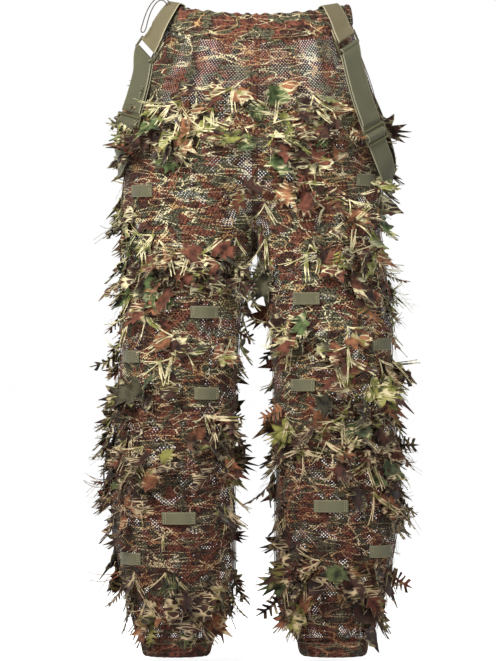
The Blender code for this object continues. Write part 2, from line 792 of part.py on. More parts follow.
def make_side(side, materials, axes):
    make_leg_cloth(side, materials, axes)
    for k, (name, start, end, level, front, body) in enumerate(GARLANDS):
        material = materials["leaf" if k % 2 else "leaf_dry"]
        make_garland(f"garland_{name}_{side}", side, start, end, slanted((level, front)),
                     material, axes.get((body, side)))
    for name, x, right_z, left_z, width, body in FOLIAGE_LOOPS:
        z = right_z if side == "right" else left_z
        make_loop(f"loop_{name}_{side}", side, x, z, width, materials["loop"],
                  axes.get((body, side)))
    make_hem(side, materials, axes["shin", side])
    make_front_tab(side, materials)
    make_rear_patch(side, materials)
    make_ring(side, materials)
    make_slider(side, materials, axes["slider", side])
    make_webbing(side, materials, axes["brace", side])


def build():
    clear_scene()
    materials = make_materials()
    axes = make_axes()
    make_waistband(materials)
    make_drawcord(materials)
    for side in SIGN:
        make_side(side, materials, axes)


build()
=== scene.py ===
import json
import math
import bmesh
import bpy
import numpy as np
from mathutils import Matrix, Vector

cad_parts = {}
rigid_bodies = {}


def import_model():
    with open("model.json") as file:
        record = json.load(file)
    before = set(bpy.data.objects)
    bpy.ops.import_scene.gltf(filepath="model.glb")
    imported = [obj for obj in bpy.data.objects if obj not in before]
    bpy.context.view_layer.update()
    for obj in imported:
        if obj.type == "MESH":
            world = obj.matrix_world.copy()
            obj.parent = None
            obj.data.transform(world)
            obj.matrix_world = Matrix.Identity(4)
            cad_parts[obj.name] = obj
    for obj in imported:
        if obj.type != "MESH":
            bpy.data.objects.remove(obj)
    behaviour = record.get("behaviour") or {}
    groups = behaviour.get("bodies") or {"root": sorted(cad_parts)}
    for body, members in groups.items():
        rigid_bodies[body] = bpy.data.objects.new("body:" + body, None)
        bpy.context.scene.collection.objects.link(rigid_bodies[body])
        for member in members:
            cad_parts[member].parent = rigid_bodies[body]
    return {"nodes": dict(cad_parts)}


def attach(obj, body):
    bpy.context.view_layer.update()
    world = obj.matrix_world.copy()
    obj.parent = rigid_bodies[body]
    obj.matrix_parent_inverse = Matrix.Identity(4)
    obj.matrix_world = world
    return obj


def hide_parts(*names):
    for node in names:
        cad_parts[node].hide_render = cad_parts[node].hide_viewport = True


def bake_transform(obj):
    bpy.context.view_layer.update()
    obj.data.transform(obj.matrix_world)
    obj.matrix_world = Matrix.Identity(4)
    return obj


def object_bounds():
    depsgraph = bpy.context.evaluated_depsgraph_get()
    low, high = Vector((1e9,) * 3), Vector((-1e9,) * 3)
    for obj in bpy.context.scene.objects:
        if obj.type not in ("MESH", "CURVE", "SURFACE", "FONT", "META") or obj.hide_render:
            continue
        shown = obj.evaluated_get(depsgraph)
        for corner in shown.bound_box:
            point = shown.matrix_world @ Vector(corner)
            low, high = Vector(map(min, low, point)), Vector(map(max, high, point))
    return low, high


# Camouflage net trousers covered in cut leaves, with braces dropped at the hips.
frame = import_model()
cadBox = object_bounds()
scene = bpy.context.scene
sides = {"right": 1.0, "left": -1.0}
print("frame loaded")

# camera, lights and floor
studio = {
    "distance": 7.0,
    "viewHeight": 1.0774,            # metres seen from top to bottom at the garment
    "viewShift": (-0.0113, -0.006),  # aim, from the middle of the garment
    "aimDepth": -0.08,
    "ambient": 0.27,
    # place from the aim, size, power, tint
    "lights": {"keyLight": ((-1.1, -2.1, 1.7), 1.0, 88.0, (1.0, 0.98, 0.95)),
               "fillLight": ((2.4, -2.0, 0.6), 2.0, 20.0, (0.95, 0.98, 1.0)),
               "backLight": ((0.8, 2.8, 1.8), 1.8, 20.0, (1.0, 1.0, 1.0))},
    "floorTone": 0.90,
    "floorGlow": 0.75,
}


def linkObject(name, data):
    item = bpy.data.objects.new(name, data)
    scene.collection.objects.link(item)
    return item


def makeAreaLight(name, aim, reach, size, energy, tint):
    data = bpy.data.lights.new(name, "AREA")
    data.size = size
    data.energy = energy
    data.color = tint
    lamp = linkObject(name, data)
    lamp.location = aim + Vector(reach)
    lamp.rotation_euler = (aim - lamp.location).to_track_quat("-Z", "Y").to_euler()


def seenPale(tree, socket, seen, cast):
    # one strength for what the camera sees, another for the light it gives
    path = tree.nodes.new("ShaderNodeLightPath")
    mix = tree.nodes.new("ShaderNodeMix")
    mix.inputs[2].default_value = cast
    mix.inputs[3].default_value = seen
    tree.links.new(path.outputs["Is Camera Ray"], mix.inputs[0])
    tree.links.new(mix.outputs[0], socket)


def makeStudio():
    low, high = cadBox
    aim = (low + high) / 2 + Vector((studio["viewShift"][0], 0, studio["viewShift"][1]))
    aim.y = studio["aimDepth"]
    data = bpy.data.cameras.new("camera")
    data.sensor_width = 36.0
    data.lens = 36.0 * studio["distance"] / studio["viewHeight"]
    camera = linkObject("camera", data)
    camera.location = aim - Vector((0, studio["distance"], 0))
    camera.rotation_euler = (math.pi / 2, 0, 0)
    scene.camera = camera
    for name, (reach, size, energy, tint) in studio["lights"].items():
        makeAreaLight(name, aim, reach, size, energy, tint)
    world = bpy.data.worlds.new("paleRoom")
    world.use_nodes = True
    sky = world.node_tree.nodes["Background"]
    sky.inputs["Color"].default_value = (1, 1, 1, 1)
    seenPale(world.node_tree, sky.inputs["Strength"], 1.0, studio["ambient"])
    scene.world = world
    scene.view_settings.view_transform = "Standard"
    mesh = bpy.data.meshes.new("floor")
    level, reach = low.z - 0.012, 40.0
    corners = [(x * reach, y * reach, level) for x, y in ((-1, -1), (1, -1), (1, 1), (-1, 1))]
    mesh.from_pydata(corners, [], [(0, 1, 2, 3)])
    paint = bpy.data.materials.new("floorPaint")
    paint.use_nodes = True
    tone = studio["floorTone"]
    shader = paint.node_tree.nodes["Principled BSDF"]
    shader.inputs["Base Color"].default_value = (tone, tone, tone, 1)
    shader.inputs["Roughness"].default_value = 0.9
    shader.inputs["Emission Color"].default_value = (1, 1, 1, 1)
    seenPale(paint.node_tree, shader.inputs["Emission Strength"], studio["floorGlow"], 0.0)
    mesh.materials.append(paint)
    linkObject("floor", mesh)


makeStudio()
print("camera and lights ready")

# the cut of the trousers, the same as the frame's
cut = {
    "crotch": -0.360,
    "hem": -1.050,
    "waistband": 0.041,
    "hemBand": 0.026,
    "seam": 0.0006,
    "lean": -0.005,
    "sideRise": 0.018,
    "backRise": 0.008,
    "forkTop": -0.150,
    "trunk": ((0.040, 0.150, 0.104), (0.000, 0.151, 0.105), (-0.041, 0.163, 0.112),
              (-0.100, 0.186, 0.122), (-0.175, 0.207, 0.131), (-0.260, 0.2125, 0.136),
              (-0.360, 0.2130, 0.128), (-0.400, 0.2130, 0.126)),
    "leg": ((-0.360, 0.1070, 0.1060, 0.1120), (-0.420, 0.1120, 0.1030, 0.1080),
            (-0.520, 0.1230, 0.0980, 0.1010), (-0.630, 0.1300, 0.0990, 0.0960),
            (-0.790, 0.1355, 0.1020, 0.0960), (-0.890, 0.1310, 0.0980, 0.0920),
            (-0.940, 0.1260, 0.0880, 0.0820), (-0.990, 0.1260, 0.0740, 0.0700),
            (-1.030, 0.1290, 0.0550, 0.0540), (-1.070, 0.1300, 0.0500, 0.0500)),
    "seatEdge": (-0.375, 0.0),       # level, and how much lower it runs at the front
    "thighTop": (-0.460, -0.040),
    "thighBottom": (-0.6125, -0.0325),
    "shinTop": (-0.6925, 0.0275),
}

# how the cloth hangs: gathers under the elastics and soft creases all over
drape = {
    "waistFolds": 21, "waistDepth": 0.0016, "waistReach": 0.035,
    "hemFolds": 17, "hemDepth": 0.0070, "hemReach": 0.075,
    "creaseDepth": 0.0030, "creases": 9, "seed": 11,
}


def stations(table, z):
    rows = np.array(table)
    heights, last = rows[:, 0], len(rows) - 1
    z = np.clip(z, heights[-1], heights[0])
    i = np.clip(np.searchsorted(-heights, -z, side="right") - 1, 0, last - 1)
    before, here = rows[np.maximum(i - 1, 0)], rows[i]
    after, beyond = rows[i + 1], rows[np.minimum(i + 2, last)]
    run = (after - here)[..., :1]
    f = ((z - heights[i]) / run[..., 0])[..., None]
    slopeHere = (after - before) / (after - before)[..., :1] * run
    slopeAfter = (beyond - here) / (beyond - here)[..., :1] * run
    f2, f3 = f * f, f ** 3
    value = (2 * f3 - 3 * f2 + 1) * here + (f3 - 2 * f2 + f) * slopeHere
    value = value + (3 * f2 - 2 * f3) * after + (f3 - f2) * slopeAfter
    return value[..., 1:]


def smoothStep(value):
    value = np.clip(value, 0.0, 1.0)
    return value * value * (3.0 - 2.0 * value)


def rightOutline(t, z):
    trunk, leg = stations(cut["trunk"], z), stations(cut["leg"], z)
    above = z > cut["crotch"]
    fork = np.clip((cut["forkTop"] - z) / (cut["forkTop"] - cut["crotch"]), 0, 1) ** 3
    middle = np.where(above, trunk[..., 0] / 2, leg[..., 0])
    legWidth = np.where(above, trunk[..., 0] / 2 - cut["seam"], leg[..., 1])
    legDepth = leg[..., 2]
    seatX = -cut["seam"] / 2 - trunk[..., 0] * np.sin(np.pi * t)
    seatY = -trunk[..., 1] * np.cos(np.pi * t)
    legX = -middle + legWidth * np.cos(2 * np.pi * t)
    legY = -legDepth * np.sin(2 * np.pi * t)
    return np.stack(((1 - fork) * seatX + fork * legX, (1 - fork) * seatY + fork * legY, z), -1)


def rightNormal(t, z):
    step = 0.002
    t = np.where(z > cut["crotch"], np.clip(t, step, 1 - step), t)
    along = rightOutline(t + step, z) - rightOutline(t - step, z)
    up = rightOutline(t, np.minimum(z + step, 0.04)) - rightOutline(t, z - step)
    normal = np.cross(up, along)
    return normal / np.linalg.norm(normal, axis=-1, keepdims=True)


def waistRise(t):
    turn = np.pi * t
    return cut["sideRise"] * np.sin(turn) ** 2 + cut["backRise"] * (1 - np.cos(turn)) / 2


creaseDice = np.random.default_rng(drape["seed"])
creaseWaves = [(creaseDice.normal(0, 1, 3) * (22, 22, 46), creaseDice.uniform(0, 6.28))
               for _ in range(drape["creases"])]


def drapeOffset(side, t, z, place):
    # creases of many directions, strongest on the legs, then gathers by the waist and hem
    mirrored = place * (sides[side], 1, 1) if side == "right" else place * (-1, 1, 1) + 0.37
    warp = 0.7 * np.sin(mirrored[..., 2] * 31 + mirrored[..., 0] * 17)
    creases = sum(np.sin(mirrored @ wave + shift + warp) for wave, shift in creaseWaves)
    creases = creases / math.sqrt(len(creaseWaves)) * drape["creaseDepth"]
    inseam = smoothStep(np.minimum(t, 1 - t) / 0.07)
    creases = creases * np.where(z < -0.20, 0.25 + 0.75 * inseam, 1.0)
    creases = creases * smoothStep((-z - 0.03) / 0.08)
    fromWaist = waistRise(t) - cut["waistband"] - z
    turn = 2 * np.pi * t
    sway = 0.6 * np.sin(5 * turn / 2 + 1) ** 2
    gathers = np.cos(drape["waistFolds"] * turn + 2.2 * np.sin(turn * 3)) * (0.7 + sway)
    gathers = gathers * drape["waistDepth"] * np.exp(-(np.maximum(fromWaist, 0) / drape["waistReach"]) ** 1.5)
    fromHem = np.maximum(z - cut["hem"] - cut["hemBand"], 0)
    folds = np.cos(drape["hemFolds"] * turn + 1.3 * np.sin(2 * turn)) * (0.65 + 0.35 * np.sin(3 * turn))
    folds = folds * drape["hemDepth"] * np.exp(-fromHem / drape["hemReach"])
    folds = folds * (0.35 + 0.65 * smoothStep(fromHem / 0.03))
    return creases + gathers + folds


def garment(side, t, z, offset=0.0):
    # place on the cloth at outline fraction t (0 front middle, 0.5 side seam, 1 back)
    t, z = np.broadcast_arrays(np.asarray(t, float), np.asarray(z, float))
    place = rightOutline(t, z)
    depth = drapeOffset(side, t, z, place) + offset
    place = place + rightNormal(t, z) * depth[..., None]
    lean = cut["lean"] * smoothStep(z / cut["forkTop"])
    return place * (sides[side], 1, 1) + np.stack((lean, 0 * z, 0 * z), -1)


def outward(side, t, z):
    t, z = np.broadcast_arrays(np.asarray(t, float), np.asarray(z, float))
    return rightNormal(t, z) * (sides[side], 1, 1)


def edgeLevel(name, t):
    level, front = cut[name]
    return level + front * np.sin(2 * np.pi * t)


def outlineAtX(x, z):
    low, high = 0.0, 0.5
    for _ in range(30):
        middle = (low + high) / 2
        if abs(rightOutline(np.array(middle), np.array(z))[0]) < x:
            low = middle
        else:
            high = middle
    return (low + high) / 2


# small helpers for meshes and node trees
def meshObject(name, points, faces, materials=(), smooth=True):
    mesh = bpy.data.meshes.new(name)
    mesh.from_pydata([tuple(p) for p in points], [], [tuple(f) for f in faces])
    if smooth:
        mesh.shade_smooth()
    for material in materials:
        mesh.materials.append(material)
    return linkObject(name, mesh)


def takePlace(piece, node, body):
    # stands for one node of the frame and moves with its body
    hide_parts(node)
    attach(piece, body)


def readPoints(piece):
    points = np.empty(len(piece.data.vertices) * 3, np.float32)
    piece.data.vertices.foreach_get("co", points)
    return points.reshape(-1, 3)


def addAttribute(mesh, name, kind, values):
    field = "vector" if kind == "FLOAT_VECTOR" else "value"
    mesh.attributes.new(name, kind, "POINT").data.foreach_set(field, np.ravel(values))


def applyModifiers(piece):
    bpy.context.view_layer.update()
    ready = piece.evaluated_get(bpy.context.evaluated_depsgraph_get())
    mesh = bpy.data.meshes.new_from_object(ready)
    piece.modifiers.clear()
    piece.data = mesh


def addNode(tree, kind, **values):
    node = tree.nodes.new(kind)
    links = values.pop("links", {})
    for key, value in values.items():
        setattr(node, key, value)
    for socket, source in links.items():
        target = node.inputs[socket]
        if isinstance(source, bpy.types.NodeSocket):
            tree.links.new(source, target)
        else:
            target.default_value = source
    return node


def newTree(name, inputs):
    tree = bpy.data.node_groups.new(name, "GeometryNodeTree")
    tree.interface.new_socket("Geometry", in_out="INPUT", socket_type="NodeSocketGeometry")
    for title, kind in inputs:
        tree.interface.new_socket(title, in_out="INPUT", socket_type="NodeSocket" + kind)
    tree.interface.new_socket("Geometry", in_out="OUTPUT", socket_type="NodeSocketGeometry")
    return tree, tree.nodes.new("NodeGroupInput")


def endTree(tree, geometry, material):
    real = addNode(tree, "GeometryNodeRealizeInstances", links={"Geometry": geometry})
    painted = addNode(tree, "GeometryNodeSetMaterial",
                      links={"Geometry": real.outputs[0], "Material": material})
    out = tree.nodes.new("NodeGroupOutput")
    tree.links.new(painted.outputs[0], out.inputs[0])


def runTree(piece, tree, values):
    # runs a node tree on a piece and keeps the result as its plain mesh
    modifier = piece.modifiers.new("shape", "NODES")
    modifier.node_group = tree
    for item in tree.interface.items_tree:
        if item.in_out == "INPUT" and item.name in values:
            modifier[item.identifier] = values[item.name]
    applyModifiers(piece)


# materials
tones = {
    "bark": (0.058, 0.025, 0.017),
    "rust": (0.140, 0.047, 0.028),
    "tan": (0.270, 0.115, 0.055),
    "moss": (0.080, 0.074, 0.043),
    "green": (0.090, 0.128, 0.046),
    "olive": (0.230, 0.240, 0.060),
    "cream": (0.800, 0.720, 0.440),
    "straw": (0.560, 0.350, 0.150),
}


def newMaterial(name, roughness, sheen=0.0):
    material = bpy.data.materials.new(name)
    material.use_nodes = True
    shader = material.node_tree.nodes["Principled BSDF"]
    shader.inputs["Roughness"].default_value = roughness
    shader.inputs["Specular IOR Level"].default_value = 0.25
    shader.inputs["Sheen Weight"].default_value = sheen
    coords = material.node_tree.nodes.new("ShaderNodeTexCoord").outputs["Object"]
    return material, material.node_tree, shader, coords


def ramp(tree, source, stops, smooth=False):
    node = addNode(tree, "ShaderNodeValToRGB", links={"Fac": source})
    node.color_ramp.interpolation = "LINEAR" if smooth else "CONSTANT"
    points = node.color_ramp.elements
    points.remove(points[-1])
    points[0].position = stops[0][0]
    points[0].color = (*stops[0][1], 1)
    for place, colour in stops[1:]:
        points.new(place).color = (*colour, 1)
    return node.outputs["Color"]


def noise(tree, coords, scale, detail=2.0, stretch=(1, 1, 1), turn=(0, 0, 0), shift=(0, 0, 0)):
    placed = addNode(tree, "ShaderNodeMapping",
                     links={"Vector": coords, "Scale": stretch, "Rotation": turn, "Location": shift})
    return addNode(tree, "ShaderNodeTexNoise",
                   links={"Vector": placed.outputs[0], "Scale": scale, "Detail": detail}).outputs["Fac"]


def mixColour(tree, share, first, second, blend="MIX"):
    node = addNode(tree, "ShaderNodeMix", data_type="RGBA", blend_type=blend)
    for socket, value in ((node.inputs[0], share), (node.inputs[6], first), (node.inputs[7], second)):
        if isinstance(value, bpy.types.NodeSocket):
            tree.links.new(value, socket)
        else:
            socket.default_value = (*value, 1) if isinstance(value, tuple) else value
    return node.outputs[2]


def times(tree, first, second):
    return mixColour(tree, 1.0, first, second, "MULTIPLY")


def grey(value):
    return (value, value, value)


def grassStrokes(tree, coords, width, size):
    # printed stems: thin curved lines, broken into short strokes
    strokes = None
    for turn, stretch, shift in (((0.0, 0.30, 0.3), (1.0, 1.0, 3.8), 3.0),
                                 ((0.0, -0.45, -0.4), (1.0, 1.0, 4.2), 9.0),
                                 ((0.0, 0.95, 0.6), (1.0, 1.0, 3.2), 17.0)):
        line = noise(tree, coords, size, 0.0, stretch, turn, (shift, shift, shift))
        line = ramp(tree, line, [(0.5 - width, grey(0.0)), (0.5 - width * 0.4, grey(1.0)),
                                 (0.5 + width * 0.4, grey(1.0)), (0.5 + width, grey(0.0))], True)
        strokes = line if strokes is None else mixColour(tree, 1.0, strokes, line, "LIGHTEN")
    return strokes


def paintShadeFromKnees(tree, coords, base):
    # painted shade: the colour turns darker and redder from the knees down, where less light reaches
    height = addNode(tree, "ShaderNodeSeparateXYZ", links={"Vector": coords}).outputs["Z"]
    share = addNode(tree, "ShaderNodeMapRange",
                    links={"Value": height, "From Min": -0.78, "From Max": -0.50}).outputs[0]
    tint = mixColour(tree, share, (0.66, 0.56, 0.55), grey(1.06))
    return times(tree, base, tint)


def finishCloth(tree, shader, base, height, strength, distance):
    # colour and raised texture
    tree.links.new(base, shader.inputs["Base Color"])
    bump = addNode(tree, "ShaderNodeBump",
                   links={"Height": height, "Strength": strength, "Distance": distance})
    tree.links.new(bump.outputs[0], shader.inputs["Normal"])


def printedCloth(name, weaveScale, width):
    material, tree, shader, coords = newMaterial(name, 0.85, 0.08)
    patches = noise(tree, coords, 12.0, 3.0, (1, 1, 1.5))
    base = ramp(tree, patches, [(0.0, tones["bark"]), (0.36, tones["rust"]), (0.44, tones["moss"]),
                                (0.50, tones["bark"]), (0.54, tones["rust"]), (0.60, tones["moss"]),
                                (0.67, tones["bark"])])
    worn = noise(tree, coords, 230.0, 3.0, (1, 1, 1.3), (0, 0.4, 0))
    dark = ramp(tree, worn, [(0.34, grey(0.10)), (0.47, grey(0.80)), (0.62, grey(1.60))], True)
    base = times(tree, base, dark)
    # printed stems come in drifts, and their line is dotted
    drifts = ramp(tree, noise(tree, coords, 16.0, 2.0, (1, 1, 2.0), (0, 0.35, 0), (2, 2, 2)),
                  [(0.36, grey(0.10)), (0.46, grey(0.9)), (0.56, grey(1.0))], True)
    dots = ramp(tree, noise(tree, coords, 420.0, 0.0), [(0.36, grey(0.0)), (0.50, grey(1.0))], True)
    strokes = times(tree, grassStrokes(tree, coords, width, 17.0), drifts)
    strokes = times(tree, strokes, dots)
    stems = ramp(tree, noise(tree, coords, 30.0), [(0.44, tones["cream"]), (0.58, tones["straw"])], True)
    # painted shade below the knees
    base = paintShadeFromKnees(tree, coords, mixColour(tree, strokes, base, stems))
    finishCloth(tree, shader, base, noise(tree, coords, weaveScale, 1.0), 0.4, 0.0006)
    return material


def leafCloth():
    material, tree, shader, coords = newMaterial("leafCloth", 0.8, 0.1)
    tone = addNode(tree, "ShaderNodeAttribute", attribute_name="tone").outputs["Fac"]
    rim = addNode(tree, "ShaderNodeAttribute", attribute_name="rim").outputs["Fac"]
    base = ramp(tree, tone, [(0.0, tones["bark"]), (0.28, tones["rust"]), (0.46, tones["tan"]),
                             (0.56, tones["bark"]), (0.70, tones["green"]), (0.80, tones["moss"]),
                             (0.88, tones["olive"]), (0.95, tones["cream"])])
    blotch = ramp(tree, noise(tree, coords, 75.0, 2.0),
                  [(0.34, grey(0.22)), (0.46, grey(0.80)), (0.62, grey(1.45))], True)
    base = times(tree, base, blotch)
    drifts = ramp(tree, noise(tree, coords, 30.0, 1.0), [(0.46, grey(0.0)), (0.56, grey(1.0))], True)
    strokes = times(tree, grassStrokes(tree, coords, 0.040, 26.0), drifts)
    edge = ramp(tree, noise(tree, coords, 60.0, 1.0), [(0.36, grey(0.0)), (0.46, grey(1.0))], True)
    frayed = times(tree, rim, edge)
    pale = mixColour(tree, 1.0, strokes, frayed, "LIGHTEN")
    threads = ramp(tree, noise(tree, coords, 45.0), [(0.48, tones["cream"]), (0.62, tones["olive"])], True)
    # painted shade below the knees
    base = paintShadeFromKnees(tree, coords, mixColour(tree, pale, base, threads))
    finishCloth(tree, shader, base, noise(tree, coords, 900.0, 1.0), 0.35, 0.0005)
    return material


def webbingCloth(name, colour, edgeColour, ribs):
    # woven band: UV runs along and across the band in metres, edge is 1 at the selvedge
    material, tree, shader, coords = newMaterial(name, 0.72, 0.2)
    uv = addNode(tree, "ShaderNodeUVMap", uv_map="band").outputs[0]
    edge = addNode(tree, "ShaderNodeAttribute", attribute_name="edge").outputs["Fac"]
    rib = addNode(tree, "ShaderNodeTexWave", wave_type="BANDS", bands_direction="X",
                  links={"Vector": uv, "Scale": ribs, "Distortion": 0.4, "Detail": 1.0}).outputs["Fac"]
    warp = addNode(tree, "ShaderNodeTexWave", wave_type="BANDS", bands_direction="Y",
                   links={"Vector": uv, "Scale": ribs * 1.6, "Distortion": 0.2}).outputs["Fac"]
    weave = times(tree, rib, warp)
    # painted shade: the weave's low parts, which the bump also sinks, are painted darker
    dark = tuple(c * 0.72 for c in colour)
    base = mixColour(tree, weave, dark, colour)
    soil = ramp(tree, noise(tree, coords, 28.0, 4.0), [(0.0, grey(0.78)), (0.7, grey(1.12))], True)
    base = times(tree, base, soil)
    base = mixColour(tree, edge, base, edgeColour)
    finishCloth(tree, shader, base, weave, 0.5, 0.0004)
    return material


def plainFinish(name, colour, roughness, grain, depth, variation=0.2):
    material, tree, shader, coords = newMaterial(name, roughness)
    spread = ramp(tree, noise(tree, coords, grain / 12, 3.0),
                  [(0.0, grey(1 - variation)), (1.0, grey(1 + variation))], True)
    base = times(tree, colour, spread)
    finishCloth(tree, shader, base, noise(tree, coords, grain, 2.0), 0.3, depth)
    return material


cloths = {
    "net": printedCloth("netCloth", 1500.0, 0.022),
    "band": printedCloth("casingCloth", 1800.0, 0.011),
    "leaf": leafCloth(),
    "loop": webbingCloth("foliageLoopWebbing", (0.165, 0.155, 0.088), (0.20, 0.19, 0.11), 330.0),
    "strap": webbingCloth("braceWebbing", (0.140, 0.136, 0.076), (0.34, 0.32, 0.21), 300.0),
    "tab": webbingCloth("braceTabWebbing", (0.245, 0.205, 0.112), (0.52, 0.46, 0.30), 300.0),
    "plastic": plainFinish("olivePlastic", (0.120, 0.112, 0.058), 0.42, 900.0, 0.00015),
    "thread": plainFinish("paleThread", (0.52, 0.46, 0.30), 0.7, 2500.0, 0.0002),
    "elastic": plainFinish("elasticBand", (0.42, 0.40, 0.35), 0.75, 1800.0, 0.0004),
    "cord": plainFinish("elasticCord", (0.10, 0.075, 0.055), 0.6, 2200.0, 0.0004, 0.6),
}
print("materials ready")

# net: a lattice of small diamonds, each one opened by a node tree
net = {"columns": 204, "hole": 0.50, "lift": -0.0008, "seamWidth": 0.0085, "tuck": 0.005,
       "rows": {"seat": 120, "hip": 30, "thigh": 56, "knee": 28, "shin": 120}}
sectionOrder = list(net["rows"])
rowStarts = dict(zip(sectionOrder, np.cumsum([0] + list(net["rows"].values()))[:-1]))
rowCount = sum(net["rows"].values())


def sectionEdges(t):
    top = waistRise(t) - cut["waistband"] + net["tuck"]
    bottom = cut["hem"] + cut["hemBand"] - net["tuck"] + 0 * t
    return np.stack((top, edgeLevel("seatEdge", t), edgeLevel("thighTop", t),
                     edgeLevel("thighBottom", t), edgeLevel("shinTop", t), bottom))


def latticeLevel(t, row):
    edges = sectionEdges(t)
    starts = np.array([rowStarts[name] for name in sectionOrder] + [rowCount])
    section = np.clip(np.searchsorted(starts, row, side="right") - 1, 0, len(sectionOrder) - 1)
    share = (row - starts[section]) / (starts[section + 1] - starts[section])
    index = np.arange(t.size)
    high, low = edges[section, index], edges[section + 1, index]
    return high + (low - high) * share


def latticeMesh(side, section, start, end):
    # corners of the diamonds whose middles lie in this stretch of the lattice
    columns = net["columns"]
    first = rowStarts[section]
    rows = np.arange(first, first + net["rows"][section])
    cols = np.arange(round(start * columns), round(end * columns))
    r, c = np.meshgrid(rows, cols, indexing="ij")
    wanted = ((r + c) % 2 == 1) & (r > 0) & (r < rowCount)
    if section == "seat":
        wanted &= (c > 0) & (c < columns)
    r, c = r[wanted], c[wanted]
    cornerRows = np.stack((r, r + 1, r, r - 1), -1)
    cornerCols = np.stack((c - 1, c, c + 1, c), -1)
    if section != "seat":
        cornerCols = cornerCols % columns
    keys, inverse = np.unique(cornerRows * (columns + 1) + cornerCols, return_inverse=True)
    inverse = inverse.reshape(cornerRows.shape)
    t = (keys % (columns + 1)) / columns
    z = latticeLevel(t, keys // (columns + 1))
    points = garment(side, t, z, net["lift"])
    return points, inverse if side == "left" else inverse[:, ::-1]


def seamStrip(side, section, t, width, lift):
    # a flat felled seam: a raised strip with turned edges, along one outline fraction
    rows = max(net["rows"][section] // 2, 8)
    first = rowStarts[section]
    rowList = np.linspace(first, first + net["rows"][section], rows + 1)
    level = latticeLevel(np.full(rows + 1, t), rowList)
    girth = np.linalg.norm(garment(side, t + 0.01, level) - garment(side, t - 0.01, level), axis=-1) / 0.02
    shares = (-0.5, -0.35, 0.0, 0.35, 0.5)
    if section == "seat" and t == 0.0:
        shares = (-0.12, 0.0, 0.35, 0.5) if side == "right" else (0.0, 0.35, 0.5)
    if section == "seat" and t == 1.0:
        shares = (-0.5, -0.35, 0.0, 0.12) if side == "right" else (-0.5, -0.35, 0.0)
    # its turned edges lie almost on the net
    grid = [garment(side, t + share * width / girth, level, lift * (0.1 if abs(share) == 0.5 else 1.0))
            for share in shares]
    points = np.stack(grid, 1).reshape(-1, 3)
    across = len(shares)
    faces = [(k * across + j, (k + 1) * across + j, (k + 1) * across + j + 1, k * across + j + 1)
             for k in range(rows) for j in range(across - 1)]
    if side == "left":
        faces = [f[::-1] for f in faces]
    return points, faces


def makeNetTree():
    tree, given = newTree("openMesh", [("Hole", "Float"), ("Cloth", "Material")])
    pulled = addNode(tree, "GeometryNodeExtrudeMesh", mode="FACES",
                     links={"Mesh": given.outputs["Geometry"], "Offset Scale": 0.0, "Individual": True})
    shrunk = addNode(tree, "GeometryNodeScaleElements",
                     links={"Geometry": pulled.outputs["Mesh"], "Selection": pulled.outputs["Top"],
                            "Scale": given.outputs["Hole"]})
    opened = addNode(tree, "GeometryNodeDeleteGeometry", domain="FACE",
                     links={"Geometry": shrunk.outputs[0], "Selection": pulled.outputs["Top"]})
    endTree(tree, opened.outputs[0], given.outputs["Cloth"])
    return tree


netTree = makeNetTree()


def makeNet(name, side, section, start, end, seams):
    points, faces = latticeMesh(side, section, start, end)
    piece = meshObject(name, points, faces)
    runTree(piece, netTree, {"Hole": net["hole"], "Cloth": cloths["net"]})
    work = bmesh.new()
    work.from_mesh(piece.data)
    for t in seams:
        stripPoints, stripFaces = seamStrip(side, section, t, net["seamWidth"], 0.0012)
        strip = bpy.data.meshes.new("strip")
        strip.from_pydata([tuple(p) for p in stripPoints], [], stripFaces)
        before = len(work.faces)
        work.from_mesh(strip)
        work.faces.ensure_lookup_table()
        for face in work.faces[before:]:
            face.material_index = 1
        bpy.data.meshes.remove(strip)
    work.to_mesh(piece.data)
    work.free()
    piece.data.materials.append(cloths["band"])
    piece.data.shade_smooth()
    return piece


def declareNet(piece):
    # reads the panel's height, which is not kept
    length = np.ptp(readPoints(piece)[:, 2])


def makeNets():
    for side in sides:
        thigh, shin = "thigh_" + side, "shin_" + side
        halves = (("front", 0.0, 0.5, (0.0, 0.5)), ("back", 0.5, 1.0, (1.0,)))
        for half, start, end, seams in halves:
            for section, body in (("seat", "root"), ("thigh", thigh), ("shin", shin)):
                if section != "seat":
                    seams = tuple(t for t in seams if t != 1.0)
                piece = makeNet(f"net_{section}_{half}_{side}", side, section, start, end, seams)
                declareNet(piece)
                takePlace(piece, f"{section}_{half}_{side}", body)
        for section, upper, lower in (("hip", "root", thigh), ("knee", thigh, shin)):
            piece = makeNet(f"net_{section}_{side}", side, section, 0.0, 1.0, (0.0, 0.5))
            declareNet(piece)
            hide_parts(f"{section}_bend_{side}")
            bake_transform(piece)


makeNets()
print("net panels ready")

